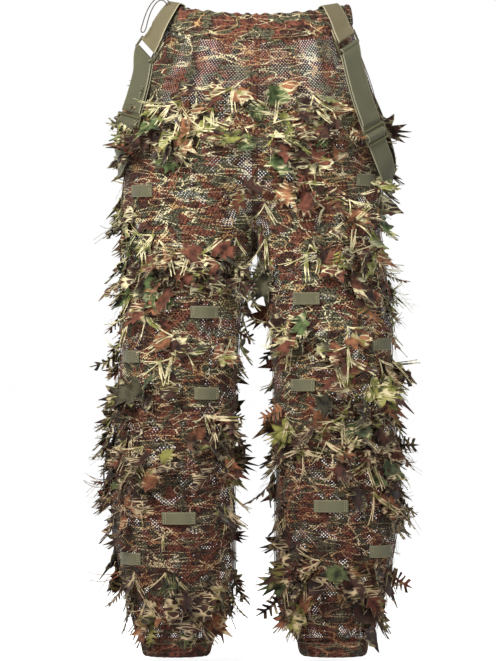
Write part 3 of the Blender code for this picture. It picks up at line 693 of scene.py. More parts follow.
# straps: a woven band swept along stops of (place, direction across)
braces = {
    "width": 0.038, "thickness": 0.0016, "tabThickness": 0.0014, "ringBar": 0.0034,
    "ringInside": (0.040, 0.016), "sliderInside": (0.042, 0.0090), "rearPatch": 0.690,
    "right": {
        "ring": (-0.1817, -0.034, -0.0538), "slant": 42.0, "tabTop": 0.362, "sliderAt": 5,
        "bareDown": -0.125,
        "route": ((-0.1895, -0.036, -0.082), (-0.1935, -0.046, -0.105), (-0.1995, -0.056, -0.130),
                  (-0.2070, -0.061, -0.155), (-0.2125, -0.061, -0.175), (-0.2175, -0.057, -0.195),
                  (-0.2225, -0.048, -0.214), (-0.2275, -0.026, -0.234), (-0.2300, 0.000, -0.243),
                  (-0.2280, 0.028, -0.233), (-0.2210, 0.050, -0.205), (-0.2080, 0.066, -0.165),
                  (-0.1900, 0.076, -0.125), (-0.1670, 0.080, -0.092)),
    },
    "left": {
        "ring": (0.1450, -0.070, -0.0430), "slant": 29.0, "tabTop": 0.285, "sliderAt": 6,
        "bareDown": -0.250,
        "route": ((0.1540, -0.079, -0.073), (0.1600, -0.087, -0.098), (0.1670, -0.091, -0.125),
                  (0.1745, -0.092, -0.148), (0.1830, -0.090, -0.172), (0.1915, -0.085, -0.195),
                  (0.1995, -0.077, -0.217), (0.2080, -0.063, -0.242), (0.2165, -0.036, -0.265),
                  (0.2210, 0.000, -0.274), (0.2210, 0.030, -0.262), (0.2160, 0.052, -0.230),
                  (0.2040, 0.068, -0.185), (0.1860, 0.078, -0.138), (0.1650, 0.081, -0.097)),
    },
}

# leaves: cut shapes, half outlines in metres from the stem to the tip
leafCuts = {
    "a_maple": ((0, 0), (.010, .004), (.020, -.004), (.015, .010), (.032, .013), (.019, .020),
                (.029, .034), (.015, .031), (.012, .041), (.007, .037), (0, .060)),
    "b_oak": ((0, 0), (.004, .003), (.013, .005), (.005, .013), (.016, .016), (.018, .023),
              (.006, .027), (.016, .037), (.013, .044), (.005, .043), (0, .060)),
    "c_scrap": ((0, 0), (.018, -.002), (.021, .006), (.010, .013), (.026, .024), (.018, .028),
                (.010, .028), (.016, .045), (.006, .038), (.005, .052), (0, .036)),
    "d_beech": ((0, 0), (.007, .006), (.013, .011), (.012, .015), (.017, .021), (.015, .025),
                (.018, .032), (.013, .036), (.013, .042), (.006, .045), (0, .054)),
}
leaves = {"rim": 0.0013, "smallest": 0.42, "largest": 1.12, "seed": 5, "rowGap": 0.018,
          "alongGap": 0.0165, "strip": 0.060, "stripShare": 0.55,
          "cutSeed": 3, "plantSeed": {"right": 21, "left": 22},
          "sideReach": 0.022, "depthReach": 0.015}


def fernHalf():
    # a frond cut into fingers
    half = [(0, 0)]
    for k in range(5):
        y, reach = 0.004 + k * 0.0095, 0.022 - 0.0022 * abs(k - 1)
        half += [(.0028, y), (reach, y + .0085), (reach - .0015, y + .0115), (.0028, y + .0062)]
    return half + [(0, .060)]


def curlLeaf(mesh, curl, cup, dice):
    for vertex in mesh.vertices:
        x, y, _ = vertex.co
        vertex.co.z = curl * y * y + cup * x * x + dice.uniform(-0.0026, 0.0026)


def cutLeaf(name, half, curl, cup, dice):
    outline = [Vector((x, y, 0)) for x, y in half]
    outline += [Vector((-x * 0.93, y * 1.02, 0)) for x, y in reversed(half[1:-1])]
    work = bmesh.new()
    face = work.faces.new([work.verts.new(p) for p in outline])
    bmesh.ops.inset_region(work, faces=[face], thickness=leaves["rim"], use_boundary=True)
    inner = [f for f in work.faces if len(f.verts) > 4]
    bmesh.ops.triangulate(work, faces=inner, ngon_method="BEAUTY")
    work.normal_update()
    if sum(f.normal.z for f in work.faces) < 0:
        bmesh.ops.reverse_faces(work, faces=work.faces)
    mesh = bpy.data.meshes.new(name)
    rim = [float(v.is_boundary) for v in work.verts]
    work.to_mesh(mesh)
    work.free()
    addAttribute(mesh, "rim", "FLOAT", rim)
    curlLeaf(mesh, curl, cup, dice)
    mesh.shade_smooth()
    return mesh


def cutRibbons(name, count, length, width, spread, rim, dice):
    # loose narrow strips from one stem
    points, faces = [], []
    for k in range(count):
        lean = (k - (count - 1) / 2) * spread + dice.uniform(-0.12, 0.12)
        bend, reach = dice.uniform(-16, 16), length * dice.uniform(0.7, 1.1)
        base = len(points)
        for s in range(6):
            y = reach * s / 5
            x = y * lean + bend * y * y
            w = width * (1 - 0.35 * s / 5) / 2
            lift = 3.0 * y * y + dice.uniform(-0.001, 0.001) + 0.0008 * k
            points += [(x - w, y, lift), (x + w, y, lift)]
        for s in range(5):
            a = base + 2 * s
            faces.append((a, a + 1, a + 3, a + 2))
    mesh = bpy.data.meshes.new(name)
    mesh.from_pydata(points, [], faces)
    addAttribute(mesh, "rim", "FLOAT", [rim] * len(points))
    mesh.shade_smooth()
    return mesh


def makeLeafCuts():
    dice = np.random.default_rng(leaves["cutSeed"])
    bowed = ((7, -14), (-8, -16), (10, 12), (6, -30))
    meshes = [cutLeaf(name, half, curl, cup, dice)
              for (name, half), (curl, cup) in zip(leafCuts.items(), bowed)]
    meshes.append(cutLeaf("e_fern", fernHalf(), 7.0, -9.0, dice))
    meshes.append(cutRibbons("f_grass", 5, 0.044, 0.0028, 0.30, 1.0, dice))
    meshes.append(cutRibbons("g_twigs", 3, 0.060, 0.0016, 0.45, 0.0, dice))
    group = bpy.data.collections.new("leafCuts")
    scene.collection.children.link(group)
    for mesh in meshes:
        group.objects.link(bpy.data.objects.new(mesh.name, mesh))
    return group


def makeLeafTree():
    tree, given = newTree("sewnLeaves", [("Leaves", "Collection"), ("Smallest", "Float"),
                                         ("Largest", "Float"), ("Seed", "Int"), ("Cloth", "Material")])
    points = addNode(tree, "GeometryNodeMeshToPoints", links={"Mesh": given.outputs["Geometry"]})
    shapes = addNode(tree, "GeometryNodeCollectionInfo",
                     links={"Collection": given.outputs["Leaves"], "Separate Children": True,
                            "Reset Children": True})
    size = addNode(tree, "FunctionNodeRandomValue", data_type="FLOAT",
                   links={"Seed": given.outputs["Seed"]})
    tree.links.new(given.outputs["Smallest"], size.inputs[2])
    tree.links.new(given.outputs["Largest"], size.inputs[3])
    read = {name: addNode(tree, "GeometryNodeInputNamedAttribute", data_type=kind, links={"Name": name})
            for name, kind in (("facing", "FLOAT_VECTOR"), ("hang", "FLOAT_VECTOR"), ("kind", "INT"))}
    turn = addNode(tree, "FunctionNodeAxesToRotation", primary_axis="Y", secondary_axis="Z",
                   links={"Primary Axis": read["hang"].outputs[0],
                          "Secondary Axis": read["facing"].outputs[0]})
    sewn = addNode(tree, "GeometryNodeInstanceOnPoints",
                   links={"Points": points.outputs[0], "Instance": shapes.outputs[0],
                          "Pick Instance": True, "Instance Index": read["kind"].outputs[0],
                          "Rotation": turn.outputs[0]})
    tree.links.new(size.outputs[1], sewn.inputs["Scale"])
    endTree(tree, sewn.outputs[0], given.outputs["Cloth"])
    return tree


# where the cloth shows between the leaves: middle x and z, half width and half height
bareFront = (
    (0.0, -0.055, 0.22, 0.062), (-0.100, -0.345, 0.090, 0.026), (0.052, -0.360, 0.038, 0.030),
    (0.112, -0.486, 0.046, 0.036), (-0.084, -0.515, 0.046, 0.022), (-0.140, -0.676, 0.050, 0.030),
    (-0.110, -0.765, 0.036, 0.024), (-0.092, -0.893, 0.058, 0.030), (0.085, -0.635, 0.035, 0.022),
    (0.088, -0.780, 0.040, 0.030), (0.120, -0.862, 0.044, 0.026), (0.117, -0.990, 0.040, 0.020),
    (-0.060, -0.255, 0.050, 0.014),
)
# share of leaves kept at each level, from the waist down
rowThickness = ((-0.085, 0.0), (-0.115, 0.9), (-0.230, 0.95), (-0.275, 0.45), (-0.335, 0.28),
                (-0.375, 0.95), (-0.490, 0.9), (-0.560, 0.70), (-0.630, 0.60), (-0.680, 0.9),
                (-0.780, 0.80), (-0.835, 0.30), (-0.865, 0.85), (-0.975, 0.8), (-1.005, 0.4))
# tufts that stand out at the outline: side, outline fraction, level, reach
tufts = (
    ("right", 0.50, -0.326, 1.0), ("right", 0.50, -0.437, 1.15), ("right", 0.49, -0.545, 0.8),
    ("right", 0.50, -0.690, 1.25), ("right", 0.49, -0.705, 1.1), ("right", 0.51, -0.775, 1.1),
    ("right", 0.50, -0.925, 0.9), ("left", 0.50, -0.425, 1.1),
    ("left", 0.49, -0.468, 1.1), ("left", 0.50, -0.578, 1.15), ("left", 0.51, -0.700, 1.1),
    ("left", 0.50, -0.780, 1.05), ("left", 0.49, -0.935, 0.8), ("right", 0.02, -0.430, 0.5),
    ("left", 0.02, -0.745, 0.8), ("right", 0.02, -0.945, 0.9),
)
# leaves sewn beside each brace that hang across it: side, turn towards the outside, places
overStrap = (("right", 1.0, ((0.355, -0.135), (0.365, -0.150), (0.352, -0.168), (0.368, -0.180),
                             (0.358, -0.195), (0.372, -0.208), (0.380, -0.142), (0.385, -0.190))),
             ("left", -1.0, ((0.372, -0.262),)))
foliageLoops = (
    ("hip", 0.181, -0.287, -0.269, 0.043, "root"),
    ("thigh_inner", 0.083, -0.484, -0.462, 0.046, "thigh"),
    ("thigh_outer", 0.206, -0.557, -0.537, 0.052, "thigh"),
    ("knee_inner", 0.079, -0.617, -0.603, 0.044, "thigh"),
    ("shin_front", 0.124, -0.820, -0.800, 0.054, "shin"),
    ("shin_outer", 0.206, -0.887, -0.875, 0.052, "shin"),
)


def isBare(side, t, z, place):
    if t > 0.5:
        return False
    x = place[0]
    # the front run of each brace lies clear of the leaves
    run = braces[side]["route"][:8]
    strapX = np.interp(-z, [-p[2] for p in run], [p[0] for p in run])
    if braces[side]["bareDown"] < z < -0.05 and -0.026 < (x - strapX) * sides[side] < 0.034:
        return True
    for midX, midZ, halfX, halfZ in bareFront:
        if ((x - midX) / halfX) ** 2 + ((z - 0.018 - midZ) / (halfZ + 0.022)) ** 2 < 1:
            return True
    for _, loopX, rightZ, leftZ, width, _ in foliageLoops:
        loopZ = rightZ if side == "right" else leftZ
        signed = -sides[side] * loopX + cut["lean"]
        if abs(x - signed) < width / 2 + 0.026 and -0.022 < z - loopZ < 0.060:
            return True
    return False


def sectionOf(t, z):
    edges = sectionEdges(np.array([t]))[:, 0]
    for k, name in enumerate(sectionOrder):
        if z > edges[k + 1]:
            return name
    return "shin"


def leafGroup(section, t, z):
    # which sewn-on garland a leaf belongs to
    if section == "seat":
        if z < -0.245:
            return "seat_lower"
        return "seat_front_upper" if t < 0.5 else "seat_back_upper"
    if section == "shin":
        return "shin_upper" if z > -0.800 else "shin_middle" if z > -0.885 else "shin_lower"
    return section


def pickLeaf(dice):
    kind = int(dice.choice(7, p=(0.15, 0.15, 0.16, 0.11, 0.11, 0.26, 0.06)))
    tone = dice.uniform(0, 0.94)
    if kind == 5:
        tone = dice.choice((0.30, 0.90, 0.97, 0.97, 0.70))
    if kind == 6:
        tone = 0.55
    return kind, tone


def plantLeaf(side, t, z, flare, spin, dice, found, lift=0.0025, kind=None):
    place = garment(side, t, z, lift)
    out = outward(side, t, z)
    down = np.array((0, 0, -1.0)) + out * out[2]
    down /= np.linalg.norm(down)
    across = np.cross(down, out)
    hang = (down * math.cos(spin) + across * math.sin(spin)) * math.cos(flare) + out * math.sin(flare)
    shape, tone = pickLeaf(dice)
    group = leafGroup(sectionOf(t, z), t, z)
    found.setdefault(group, []).append((place, out, hang, shape if kind is None else kind, tone))


def plantLeaves(side):
    dice = np.random.default_rng(leaves["plantSeed"][side])
    found = {}
    z = -0.088
    while z > -1.006:
        around = garment(side, np.linspace(0, 1, 60), np.full(60, z))
        girth = np.linalg.norm(np.diff(around, axis=0), axis=1).sum()
        count = int(girth / leaves["alongGap"])
        start = dice.uniform(0, 1)
        wave = dice.uniform(0, 6.28)
        for k in range(count):
            t = (k + start + dice.uniform(-0.3, 0.3)) / count % 1.0
            level = z + 0.008 * math.sin(3 * math.pi * t + wave) + dice.uniform(-0.007, 0.007)
            draw, flare = dice.uniform(0, 1), abs(dice.normal(0.24, 0.26)) + 0.08
            spin = dice.normal(0, 0.95)
            inner = min(t, 1 - t)
            if inner < 0.02 or z < cut["crotch"] and inner < 0.075 and draw > 0.08:
                continue
            # leaves lie flatter at the outline and between the legs
            calm = float(smoothStep(abs(t - 0.5) / 0.19))
            if z < cut["crotch"] + 0.08:
                calm *= float(smoothStep(min(t, 1 - t) / 0.19))
            flare, spin = flare * (0.15 + 0.85 * calm), spin * (0.25 + 0.75 * calm)
            if draw > 0.38 + 0.62 * calm:
                continue
            keep = np.interp(-level, [-a for a, _ in rowThickness], [b for _, b in rowThickness])
            if t > 0.5:
                # the back is thick all over, but lies flatter
                keep, flare = 1.0, min(flare, 0.45)
            place = garment(side, t, level)
            if draw > keep or isBare(side, t, level, place):
                continue
            if level > -0.125 and t > 0.25:
                continue
            plantLeaf(side, t, level, min(flare, 1.1), spin, dice, found)
        z -= leaves["rowGap"]
    for strapSide, turn, places in overStrap:
        for t, level in places if strapSide == side else ():
            for k in range(2):
                plantLeaf(side, t + dice.normal(0, 0.006), level + dice.normal(0, 0.006),
                          dice.uniform(0.65, 0.95), turn * dice.uniform(0.4, 1.0), dice, found)
    for tuftSide, t, level, reach in tufts:
        if tuftSide != side:
            continue
        for k in range(6):
            shape = (5, 6, 1, 6, 5, 4)[k]
            plantLeaf(side, t + dice.normal(0, 0.022), level + dice.normal(0, 0.010),
                      min(1.2, abs(dice.normal(0.62, 0.25)) * reach), dice.normal(0, 0.7), dice, found,
                      0.002, shape)
    return found


def bendInside(piece):
    # long tips curl back before they leave the garment's room
    co, soft = readPoints(piece), 0.008
    for axis, reach in ((0, leaves["sideReach"]), (1, leaves["depthReach"])):
        for way, edge in ((-1, cadBox[0][axis]), (1, cadBox[1][axis])):
            start = edge * way + reach - soft
            past = np.maximum(co[:, axis] * way - start, 0) / soft
            co[:, axis] += way * soft * (np.tanh(past) - past)
    piece.data.vertices.foreach_set("co", co.ravel())


def makeLeaves():
    cuts, tree = makeLeafCuts(), makeLeafTree()
    for side in sides:
        for group, rows in sorted(plantLeaves(side).items()):
            name = f"leaves_{group}_{side}"
            piece = meshObject(name, [row[0] for row in rows], [], smooth=False)
            for k, (key, kind) in enumerate((("facing", "FLOAT_VECTOR"), ("hang", "FLOAT_VECTOR"),
                                             ("kind", "INT"), ("tone", "FLOAT"))):
                addAttribute(piece.data, key, kind, [row[k + 1] for row in rows])
            runTree(piece, tree, {"Leaves": cuts, "Smallest": leaves["smallest"],
                                  "Largest": leaves["largest"], "Seed": leaves["seed"],
                                  "Cloth": cloths["leaf"]})
            bendInside(piece)
            for spare in ("facing", "hang", "kind"):
                if spare in piece.data.attributes:
                    piece.data.attributes.remove(piece.data.attributes[spare])
            if group in ("hip", "knee"):
                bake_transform(piece)
            else:
                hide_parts(f"garland_{group}_{side}")
                body = group.split("_")[0]
                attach(piece, "root" if body == "seat" else f"{body}_{side}")
    for cutShape in list(cuts.objects):
        bpy.data.objects.remove(cutShape)
    bpy.data.collections.remove(cuts)


makeLeaves()
print("leaves ready")


# casings with elastic inside: folded cloth, gathered
casing = {"waistColumns": 760, "hemColumns": 300, "waistGather": 0.0022, "hemGather": 0.0019,
          "wall": 0.0006}


def bandPoint(side, t, low, high, rise, offset):
    bottom, top = rightOutline(t, low), rightOutline(t, high)
    place = bottom + (top - bottom) * (rise / (high - low))[..., None]
    place = place + rightNormal(t, low) * np.reshape(offset, (-1, 1))
    lean = cut["lean"] * smoothStep(low / cut["forkTop"])
    return place * (sides[side], 1, 1) + np.stack((lean, 0 * low, 0 * low), -1)


# folded casing, from its outer lower edge over the top: offset, height, share of the gathers
casingProfile = ((0.0004, 0.0, 0.6), (0.0010, 0.05, 0.9), (0.0004, 0.13, 0.25), (0.0014, 0.22, 0.9),
                 (0.0020, 0.40, 1.0), (0.0022, 0.62, 1.0), (0.0018, 0.82, 1.0), (0.0004, 0.95, 0.8),
                 (-0.0018, 1.015, 0.7), (-0.0042, 1.0, 0.4), (-0.0057, 0.93, -0.2), (-0.0059, 0.6, -0.2),
                 (-0.0059, 0.2, -0.2), (-0.0057, 0.02, -0.2))


def gatherWave(turn, count, phase):
    # sharp irregular gathers, from minus one to one
    wave = np.cos(count * turn + 2.4 * np.sin(3 * turn + phase))
    return (np.abs(wave) ** 0.7) * np.sign(wave) * (0.75 + 0.25 * np.sin(7 * turn + phase))


def tabShelter(side, t):
    # the gathers lie flat under the brace tabs and rear patches
    near = sum(np.exp(-((t - at) / 0.045) ** 2) for at in (braces[side]["tabTop"], braces["rearPatch"]))
    return 1 - np.clip(near, 0, 1)


def closeBand(name, loops, cloth):
    # loops: one array of points for each row of the profile
    count, rows = len(loops[0]), len(loops)
    points = np.concatenate(loops)
    faces = [(r * count + k, r * count + (k + 1) % count, (r + 1) * count + (k + 1) % count,
              (r + 1) * count + k) for r in range(rows - 1) for k in range(count)]
    piece = meshObject(name, points, faces, [cloth])
    outwardFace = np.mean([f.normal.dot(Vector((f.center.x - points[:, 0].mean(),
                                                f.center.y - points[:, 1].mean(), 0)))
                           for f in piece.data.polygons[:count]])
    if outwardFace < 0:
        piece.data.flip_normals()
    wall = piece.modifiers.new("wall", "SOLIDIFY")
    wall.thickness = casing["wall"]
    wall.offset = -1.0
    return piece


def finishCasing(piece, node, body):
    applyModifiers(piece)
    takePlace(piece, node, body)


def waistGathers(side, t):
    return gatherWave(2 * np.pi * t, 23, 0.0 if side == "right" else 1.0)


def hemGathers(side, t):
    return gatherWave(2 * np.pi * t, 19, 0.5 if side == "right" else 2.0)


def makeWaistband():
    count = casing["waistColumns"]
    turns = 2 * np.arange(count) / count
    loops = []
    for offset, height, show in casingProfile:
        rows = []
        for side, pick in (("right", turns <= 1), ("left", turns > 1)):
            t = np.where(turns <= 1, turns, 2 - turns)[pick]
            top = waistRise(t)
            wave = waistGathers(side, t)
            push = casing["waistGather"] * show * wave * tabShelter(side, t)
            rise = np.full(t.shape, cut["waistband"] * height)
            rise = rise + (0.0012 * wave * tabShelter(side, t) if 0.9 < height else 0)
            rows.append(bandPoint(side, t, top - cut["waistband"], top, rise, offset + push))
        loops.append(np.concatenate(rows))
    piece = closeBand("waistband", loops, cloths["band"])
    finishCasing(piece, "waistband_casing", "root")


def makeHem(side):
    count = casing["hemColumns"]
    t = np.arange(count) / count
    low = np.full(count, cut["hem"])
    loops = []
    for offset, height, show in casingProfile:
        push = casing["hemGather"] * show * hemGathers(side, t)
        rise = np.full(count, cut["hemBand"] * (1 - height))
        loops.append(bandPoint(side, t, low, low + cut["hemBand"], rise, offset + push))
    piece = closeBand("hem_band_" + side, loops, cloths["band"])
    finishCasing(piece, "hem_casing_" + side, "shin_" + side)


makeWaistband()
for side in sides:
    makeHem(side)
print("casings ready")


def squareTo(direction, tangent):
    return (direction - tangent * direction.dot(tangent)).normalized()


def smoothStops(stops, perSpan):
    # a finer run of stops on a smooth curve through the given ones
    places = [p for p, _ in stops]
    padded = [2 * places[0] - places[1]] + places + [2 * places[-1] - places[-2]]
    fine = []
    for i in range(len(stops) - 1):
        p0, p1, p2, p3 = padded[i:i + 4]
        for k in range(perSpan):
            f = k / perSpan
            place = 0.5 * (2 * p1 + (p2 - p0) * f + (2 * p0 - 5 * p1 + 4 * p2 - p3) * f * f
                           + (3 * p1 - p0 - 3 * p2 + p3) * f ** 3)
            fine.append((place, stops[i][1].lerp(stops[i + 1][1], f).normalized()))
    fine.append(stops[-1])
    return fine


def sweepBand(name, stops, width, thickness, cloth, ridges=()):
    # rounded cross-section with a selvedge at each side; UV in metres for the weave
    half, thick = width / 2, thickness / 2
    section = [(-half, 0.0, 1), (-half + 0.0006, thick, 1), (-half + 0.0022, thick, 0)]
    section += [(x * half, thick, 0) for x in (-0.5, 0.0, 0.5)]
    section += [(half - 0.0022, thick, 0), (half - 0.0006, thick, 1), (half, 0.0, 1),
                (half - 0.0006, -thick, 1), (half - 0.0022, -thick, 0), (0.0, -thick, 0),
                (-half + 0.0022, -thick, 0), (-half + 0.0006, -thick, 1)]
    size, last = len(section), len(stops) - 1
    points, edges, along, runLength = [], [], [], 0.0
    for s, (place, across) in enumerate(stops):
        run = (stops[min(s + 1, last)][0] - stops[max(s - 1, 0)][0]).normalized()
        across = across.normalized()
        normal = across.cross(run).normalized()
        if s:
            runLength += (place - stops[s - 1][0]).length
        raised = sum(0.0011 * math.exp(-((s - ridge) / 1.1) ** 2) for ridge in ridges)
        for x, lift, edge in section:
            if lift < 0:
                lift -= raised
            points.append(place + across * x + normal * lift)
            edges.append(float(edge))
            along.append((runLength, x))
    faces = [(s * size + k, s * size + (k + 1) % size, (s + 1) * size + (k + 1) % size, (s + 1) * size + k)
             for s in range(last) for k in range(size)]
    faces += [tuple(range(size))[::-1], tuple(last * size + k for k in range(size))]
    piece = meshObject(name, points, faces, [cloth])
    mesh = piece.data
    addAttribute(mesh, "edge", "FLOAT", edges)
    layer = mesh.uv_layers.new(name="band")
    for loop in mesh.loops:
        layer.data[loop.index].uv = along[loop.vertex_index]
    work = bmesh.new()
    work.from_mesh(mesh)
    bmesh.ops.recalc_face_normals(work, faces=work.faces)
    work.to_mesh(mesh)
    work.free()
    mesh.set_sharp_from_angle(angle=math.radians(60))
    return piece


def ringFrame(side):
    inward = Vector((0.8 * sides[side], -0.6, 0.0))
    slant = math.radians(braces[side]["slant"])
    up = Vector((0.0, 0.0, 1.0))
    width = math.cos(slant) * inward - math.sin(slant) * up
    down = -math.sin(slant) * inward - math.cos(slant) * up
    return Vector(braces[side]["ring"]), width, down, frontFace(side)


def ringBarCentre(side):
    centre, _, down, _ = ringFrame(side)
    return centre + down * (braces["ringInside"][1] / 2 + braces["ringBar"] / 2)


def frontFace(side):
    return Vector((-0.6 * sides[side], -0.8, 0.0))


def sliderFrame(side):
    route = [Vector(p) for p in braces[side]["route"]]
    i = braces[side]["sliderAt"]
    down = (route[i] - route[i - 2]).normalized()
    normal = squareTo(frontFace(side), down)
    return route[i - 1], normal.cross(down).normalized(), down, normal


def plainGarment(side, t, z, offset):
    place = rightOutline(np.array(t), np.array(z)) + rightNormal(np.array(t), np.array(z)) * offset
    lean = cut["lean"] * float(smoothStep(z / cut["forkTop"]))
    return Vector((sides[side] * place[0] + lean, place[1], place[2]))


def aroundBar(middle, across, along, normal, radius):
    lead = along * radius * 0.8
    stops = [(middle - normal * radius + lead, across)]
    for k in range(13):
        angle = math.pi * k / 12
        out = -math.cos(angle) * normal + math.sin(angle) * -along
        stops.append((middle + out * radius, across))
    stops.append((middle + normal * radius + lead, across))
    return stops


def webbingStops(side):
    # sewn under the slider's middle bar, up and over the ring's bar, down through the
    # slider, then round the hip to the rear patch
    thick, bar = braces["thickness"], braces["ringBar"]
    _, width, down, normal = ringFrame(side)
    radius = bar * 0.71 + 0.0006 + thick / 2
    rearT = braces["rearPatch"]
    rearZ = float(waistRise(rearT)) - cut["waistband"] - 0.004
    route = [Vector(p) for p in braces[side]["route"]] + [plainGarment(side, rearT, rearZ, 0.006)]
    slider, slideWidth, slideDown, slideNormal = sliderFrame(side)
    lastFront = braces[side]["sliderAt"] - 2
    under = bar / 2 + thick / 2 + 0.0006
    second = under + thick + 0.0007
    pitch = bar + braces["sliderInside"][1]

    def onRoute(k, lift):
        before = route[k - 1] if k else ringBarCentre(side)
        after = route[min(k + 1, len(route) - 1)]
        tangent = (after - before).normalized()
        back = Vector((-0.75 * sides[side], 0.66, 0.0))
        face = squareTo(frontFace(side).lerp(back, float(smoothStep((route[k][1] + 0.05) / 0.10))), tangent)
        return route[k] + face * lift, face.cross(tangent)

    def inSlider(step, lift):
        return slider + slideDown * pitch * step + slideNormal * lift, slideWidth

    inner = [inSlider(0.0, -under), inSlider(-0.5, -under - 0.0016), inSlider(-1.0, -second),
             inSlider(-1.5, -second)]
    inner += [onRoute(k, -0.0045) for k in range(lastFront, -1, -1)]
    turn = aroundBar(ringBarCentre(side), width, down, normal, radius)
    outer = [onRoute(k, 0.0010) for k in range(lastFront + 1)]
    outer += [inSlider(step, lift) for step, lift in ((-1.5, -under), (-0.84, -under), (-0.16, under),
                                                      (0.16, under), (0.84, -under), (1.5, -under))]
    rear = [onRoute(k, 0.0) for k in range(lastFront + 3, len(route))]
    stops = []
    for place, across in inner + turn + outer + rear:
        if stops and across.dot(stops[-1][1]) < 0:
            across = -across
        stops.append((place, across))
    return stops


def makeWebbing(side):
    stops = smoothStops(webbingStops(side), 4)
    piece = sweepBand("webbing_" + side, stops, braces["width"], braces["thickness"], cloths["strap"])
    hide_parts("brace_webbing_" + side)
    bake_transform(piece)


def tabStops(side):
    centre, width, down, normal = ringFrame(side)
    bar = centre - down * (braces["ringInside"][1] / 2 + braces["ringBar"] / 2)
    radius = braces["ringBar"] * 0.71 + 0.0006 + braces["tabThickness"] / 2
    t, step = braces[side]["tabTop"], 0.02
    top = plainGarment(side, t, float(waistRise(t)), 0.0)
    tangent = plainGarment(side, t - step, float(waistRise(t - step)), 0.0)
    tangent = (tangent - plainGarment(side, t + step, float(waistRise(t + step)), 0.0)).normalized()
    out = squareTo(Vector(outward(side, t, 0.0)), tangent)
    rise = out.cross(tangent)
    if rise.z < 0:
        rise = -rise
    over = squareTo(tangent + width, down)
    stops = [(top - out * 0.0102 - rise * 0.030, tangent), (top - out * 0.0102 - rise * 0.003, tangent),
             (top - out * 0.0085 + rise * 0.0026, tangent), (top - out * 0.0030 + rise * 0.0050, tangent),
             (top + out * 0.0042 + rise * 0.0026, tangent),
             (top.lerp(bar, 0.38) + out * 0.0068, tangent.lerp(over, 0.5)),
             (top.lerp(bar, 0.74) + normal * 0.004, over)]
    for k in range(7):
        angle = math.pi * k / 6
        stops.append((bar + (math.cos(angle) * normal + math.sin(angle) * down) * radius, width))
    stops.append((bar - down * 0.020 - normal * radius * 0.9, width))
    return stops


def makeTab(side):
    stops = smoothStops(tabStops(side), 8)
    piece = sweepBand("tab_" + side, stops, braces["width"] - 0.002, braces["tabThickness"], cloths["tab"],
                      (44, 48))
    takePlace(piece, "brace_tab_" + side, "root")


def bodyOn(side, part):
    return "root" if part == "root" else f"{part}_{side}"


def loopSpan(side, x, rightZ, leftZ, width):
    # level, outline fraction of the middle, and half the width as a fraction
    z = rightZ if side == "right" else leftZ
    middle = outlineAtX(x, z)
    ends = [plainGarment(side, middle + s * 0.01, z, 0.0) for s in (-1, 1)]
    return z, middle, 0.01 * width / (ends[1] - ends[0]).length


def loopBow(share):
    return 0.0026 + 0.0030 * math.sin(math.pi * share) ** 2


def makeLoops():
    for side in sides:
        for name, x, rightZ, leftZ, width, body in foliageLoops:
            z, middle, half = loopSpan(side, x, rightZ, leftZ, width)
            stops = []
            for k in range(17):
                share = k / 16
                t = middle - half + 2 * half * share
                bow = loopBow(share)
                stops.append((Vector(garment(side, t, z, bow)), Vector((0, 0, 1))))
            piece = sweepBand(f"foliage_loop_{name}_{side}", stops, 0.0198, 0.0013, cloths["loop"])
            takePlace(piece, f"loop_{name}_{side}", bodyOn(side, body))


def makeRearPatches():
    for side in sides:
        t = np.linspace(braces["rearPatch"] - 0.036, braces["rearPatch"] + 0.036, 9)
        middle = waistRise(t) - 0.0185
        stops = [(plainGarment(side, float(a), float(b), 0.0032), Vector((0, 0, 1)))
                 for a, b in zip(t, middle)]
        piece = sweepBand("rear_patch_" + side, stops, 0.031, 0.0014, cloths["tab"])
        takePlace(piece, "brace_rear_patch_" + side, "root")


def makeBuckles():
    # rings and sliders keep the frame's shape, with softened moulded edges
    for side in sides:
        for part, body in (("brace_ring_", "root"), ("brace_slider_", "slider_" + side)):
            source = frame["nodes"][part + side]
            mesh = source.data.copy()
            name = {"brace_ring_": "ring_", "brace_slider_": "adjuster_"}[part] + side
            piece = linkObject(name, mesh)
            work = bmesh.new()
            work.from_mesh(mesh)
            bmesh.ops.remove_doubles(work, verts=work.verts, dist=0.00002)
            bmesh.ops.dissolve_limit(work, angle_limit=0.05, verts=work.verts, edges=work.edges)
            bmesh.ops.recalc_face_normals(work, faces=work.faces)
            work.to_mesh(mesh)
            work.free()
            mesh.materials.clear()
            mesh.materials.append(cloths["plastic"])
            softened = piece.modifiers.new("round", "BEVEL")
            softened.width = 0.0011
            softened.segments = 3
            softened.limit_method = "ANGLE"
            applyModifiers(piece)
            piece.data.shade_smooth()
            takePlace(piece, part + side, body)


for side in sides:
    makeWebbing(side)
    makeTab(side)
makeLoops()
makeRearPatches()
makeBuckles()
print("braces and foliage loops ready")

# free elastic cord beside the right tab
cordCut = {
    "diameter": 0.0018, "length": 0.172,
    "route": ((-0.1487, -0.0440, 0.0190), (-0.1530, -0.0470, 0.0245), (-0.1600, -0.0500, 0.0262),
              (-0.1680, -0.0500, 0.0200), (-0.1750, -0.0490, 0.0080), (-0.1800, -0.0480, -0.0060),
              (-0.1830, -0.0470, -0.0180), (-0.1862, -0.0470, -0.0250), (-0.1900, -0.0470, -0.0262),
              (-0.1915, -0.0470, -0.0215), (-0.1885, -0.0475, -0.0110), (-0.1835, -0.0485, 0.0040),
              (-0.1765, -0.0500, 0.0180), (-0.1680, -0.0510, 0.0275), (-0.1590, -0.0500, 0.0320),
              (-0.1500, -0.0460, 0.0290), (-0.1440, -0.0425, 0.0195)),
}


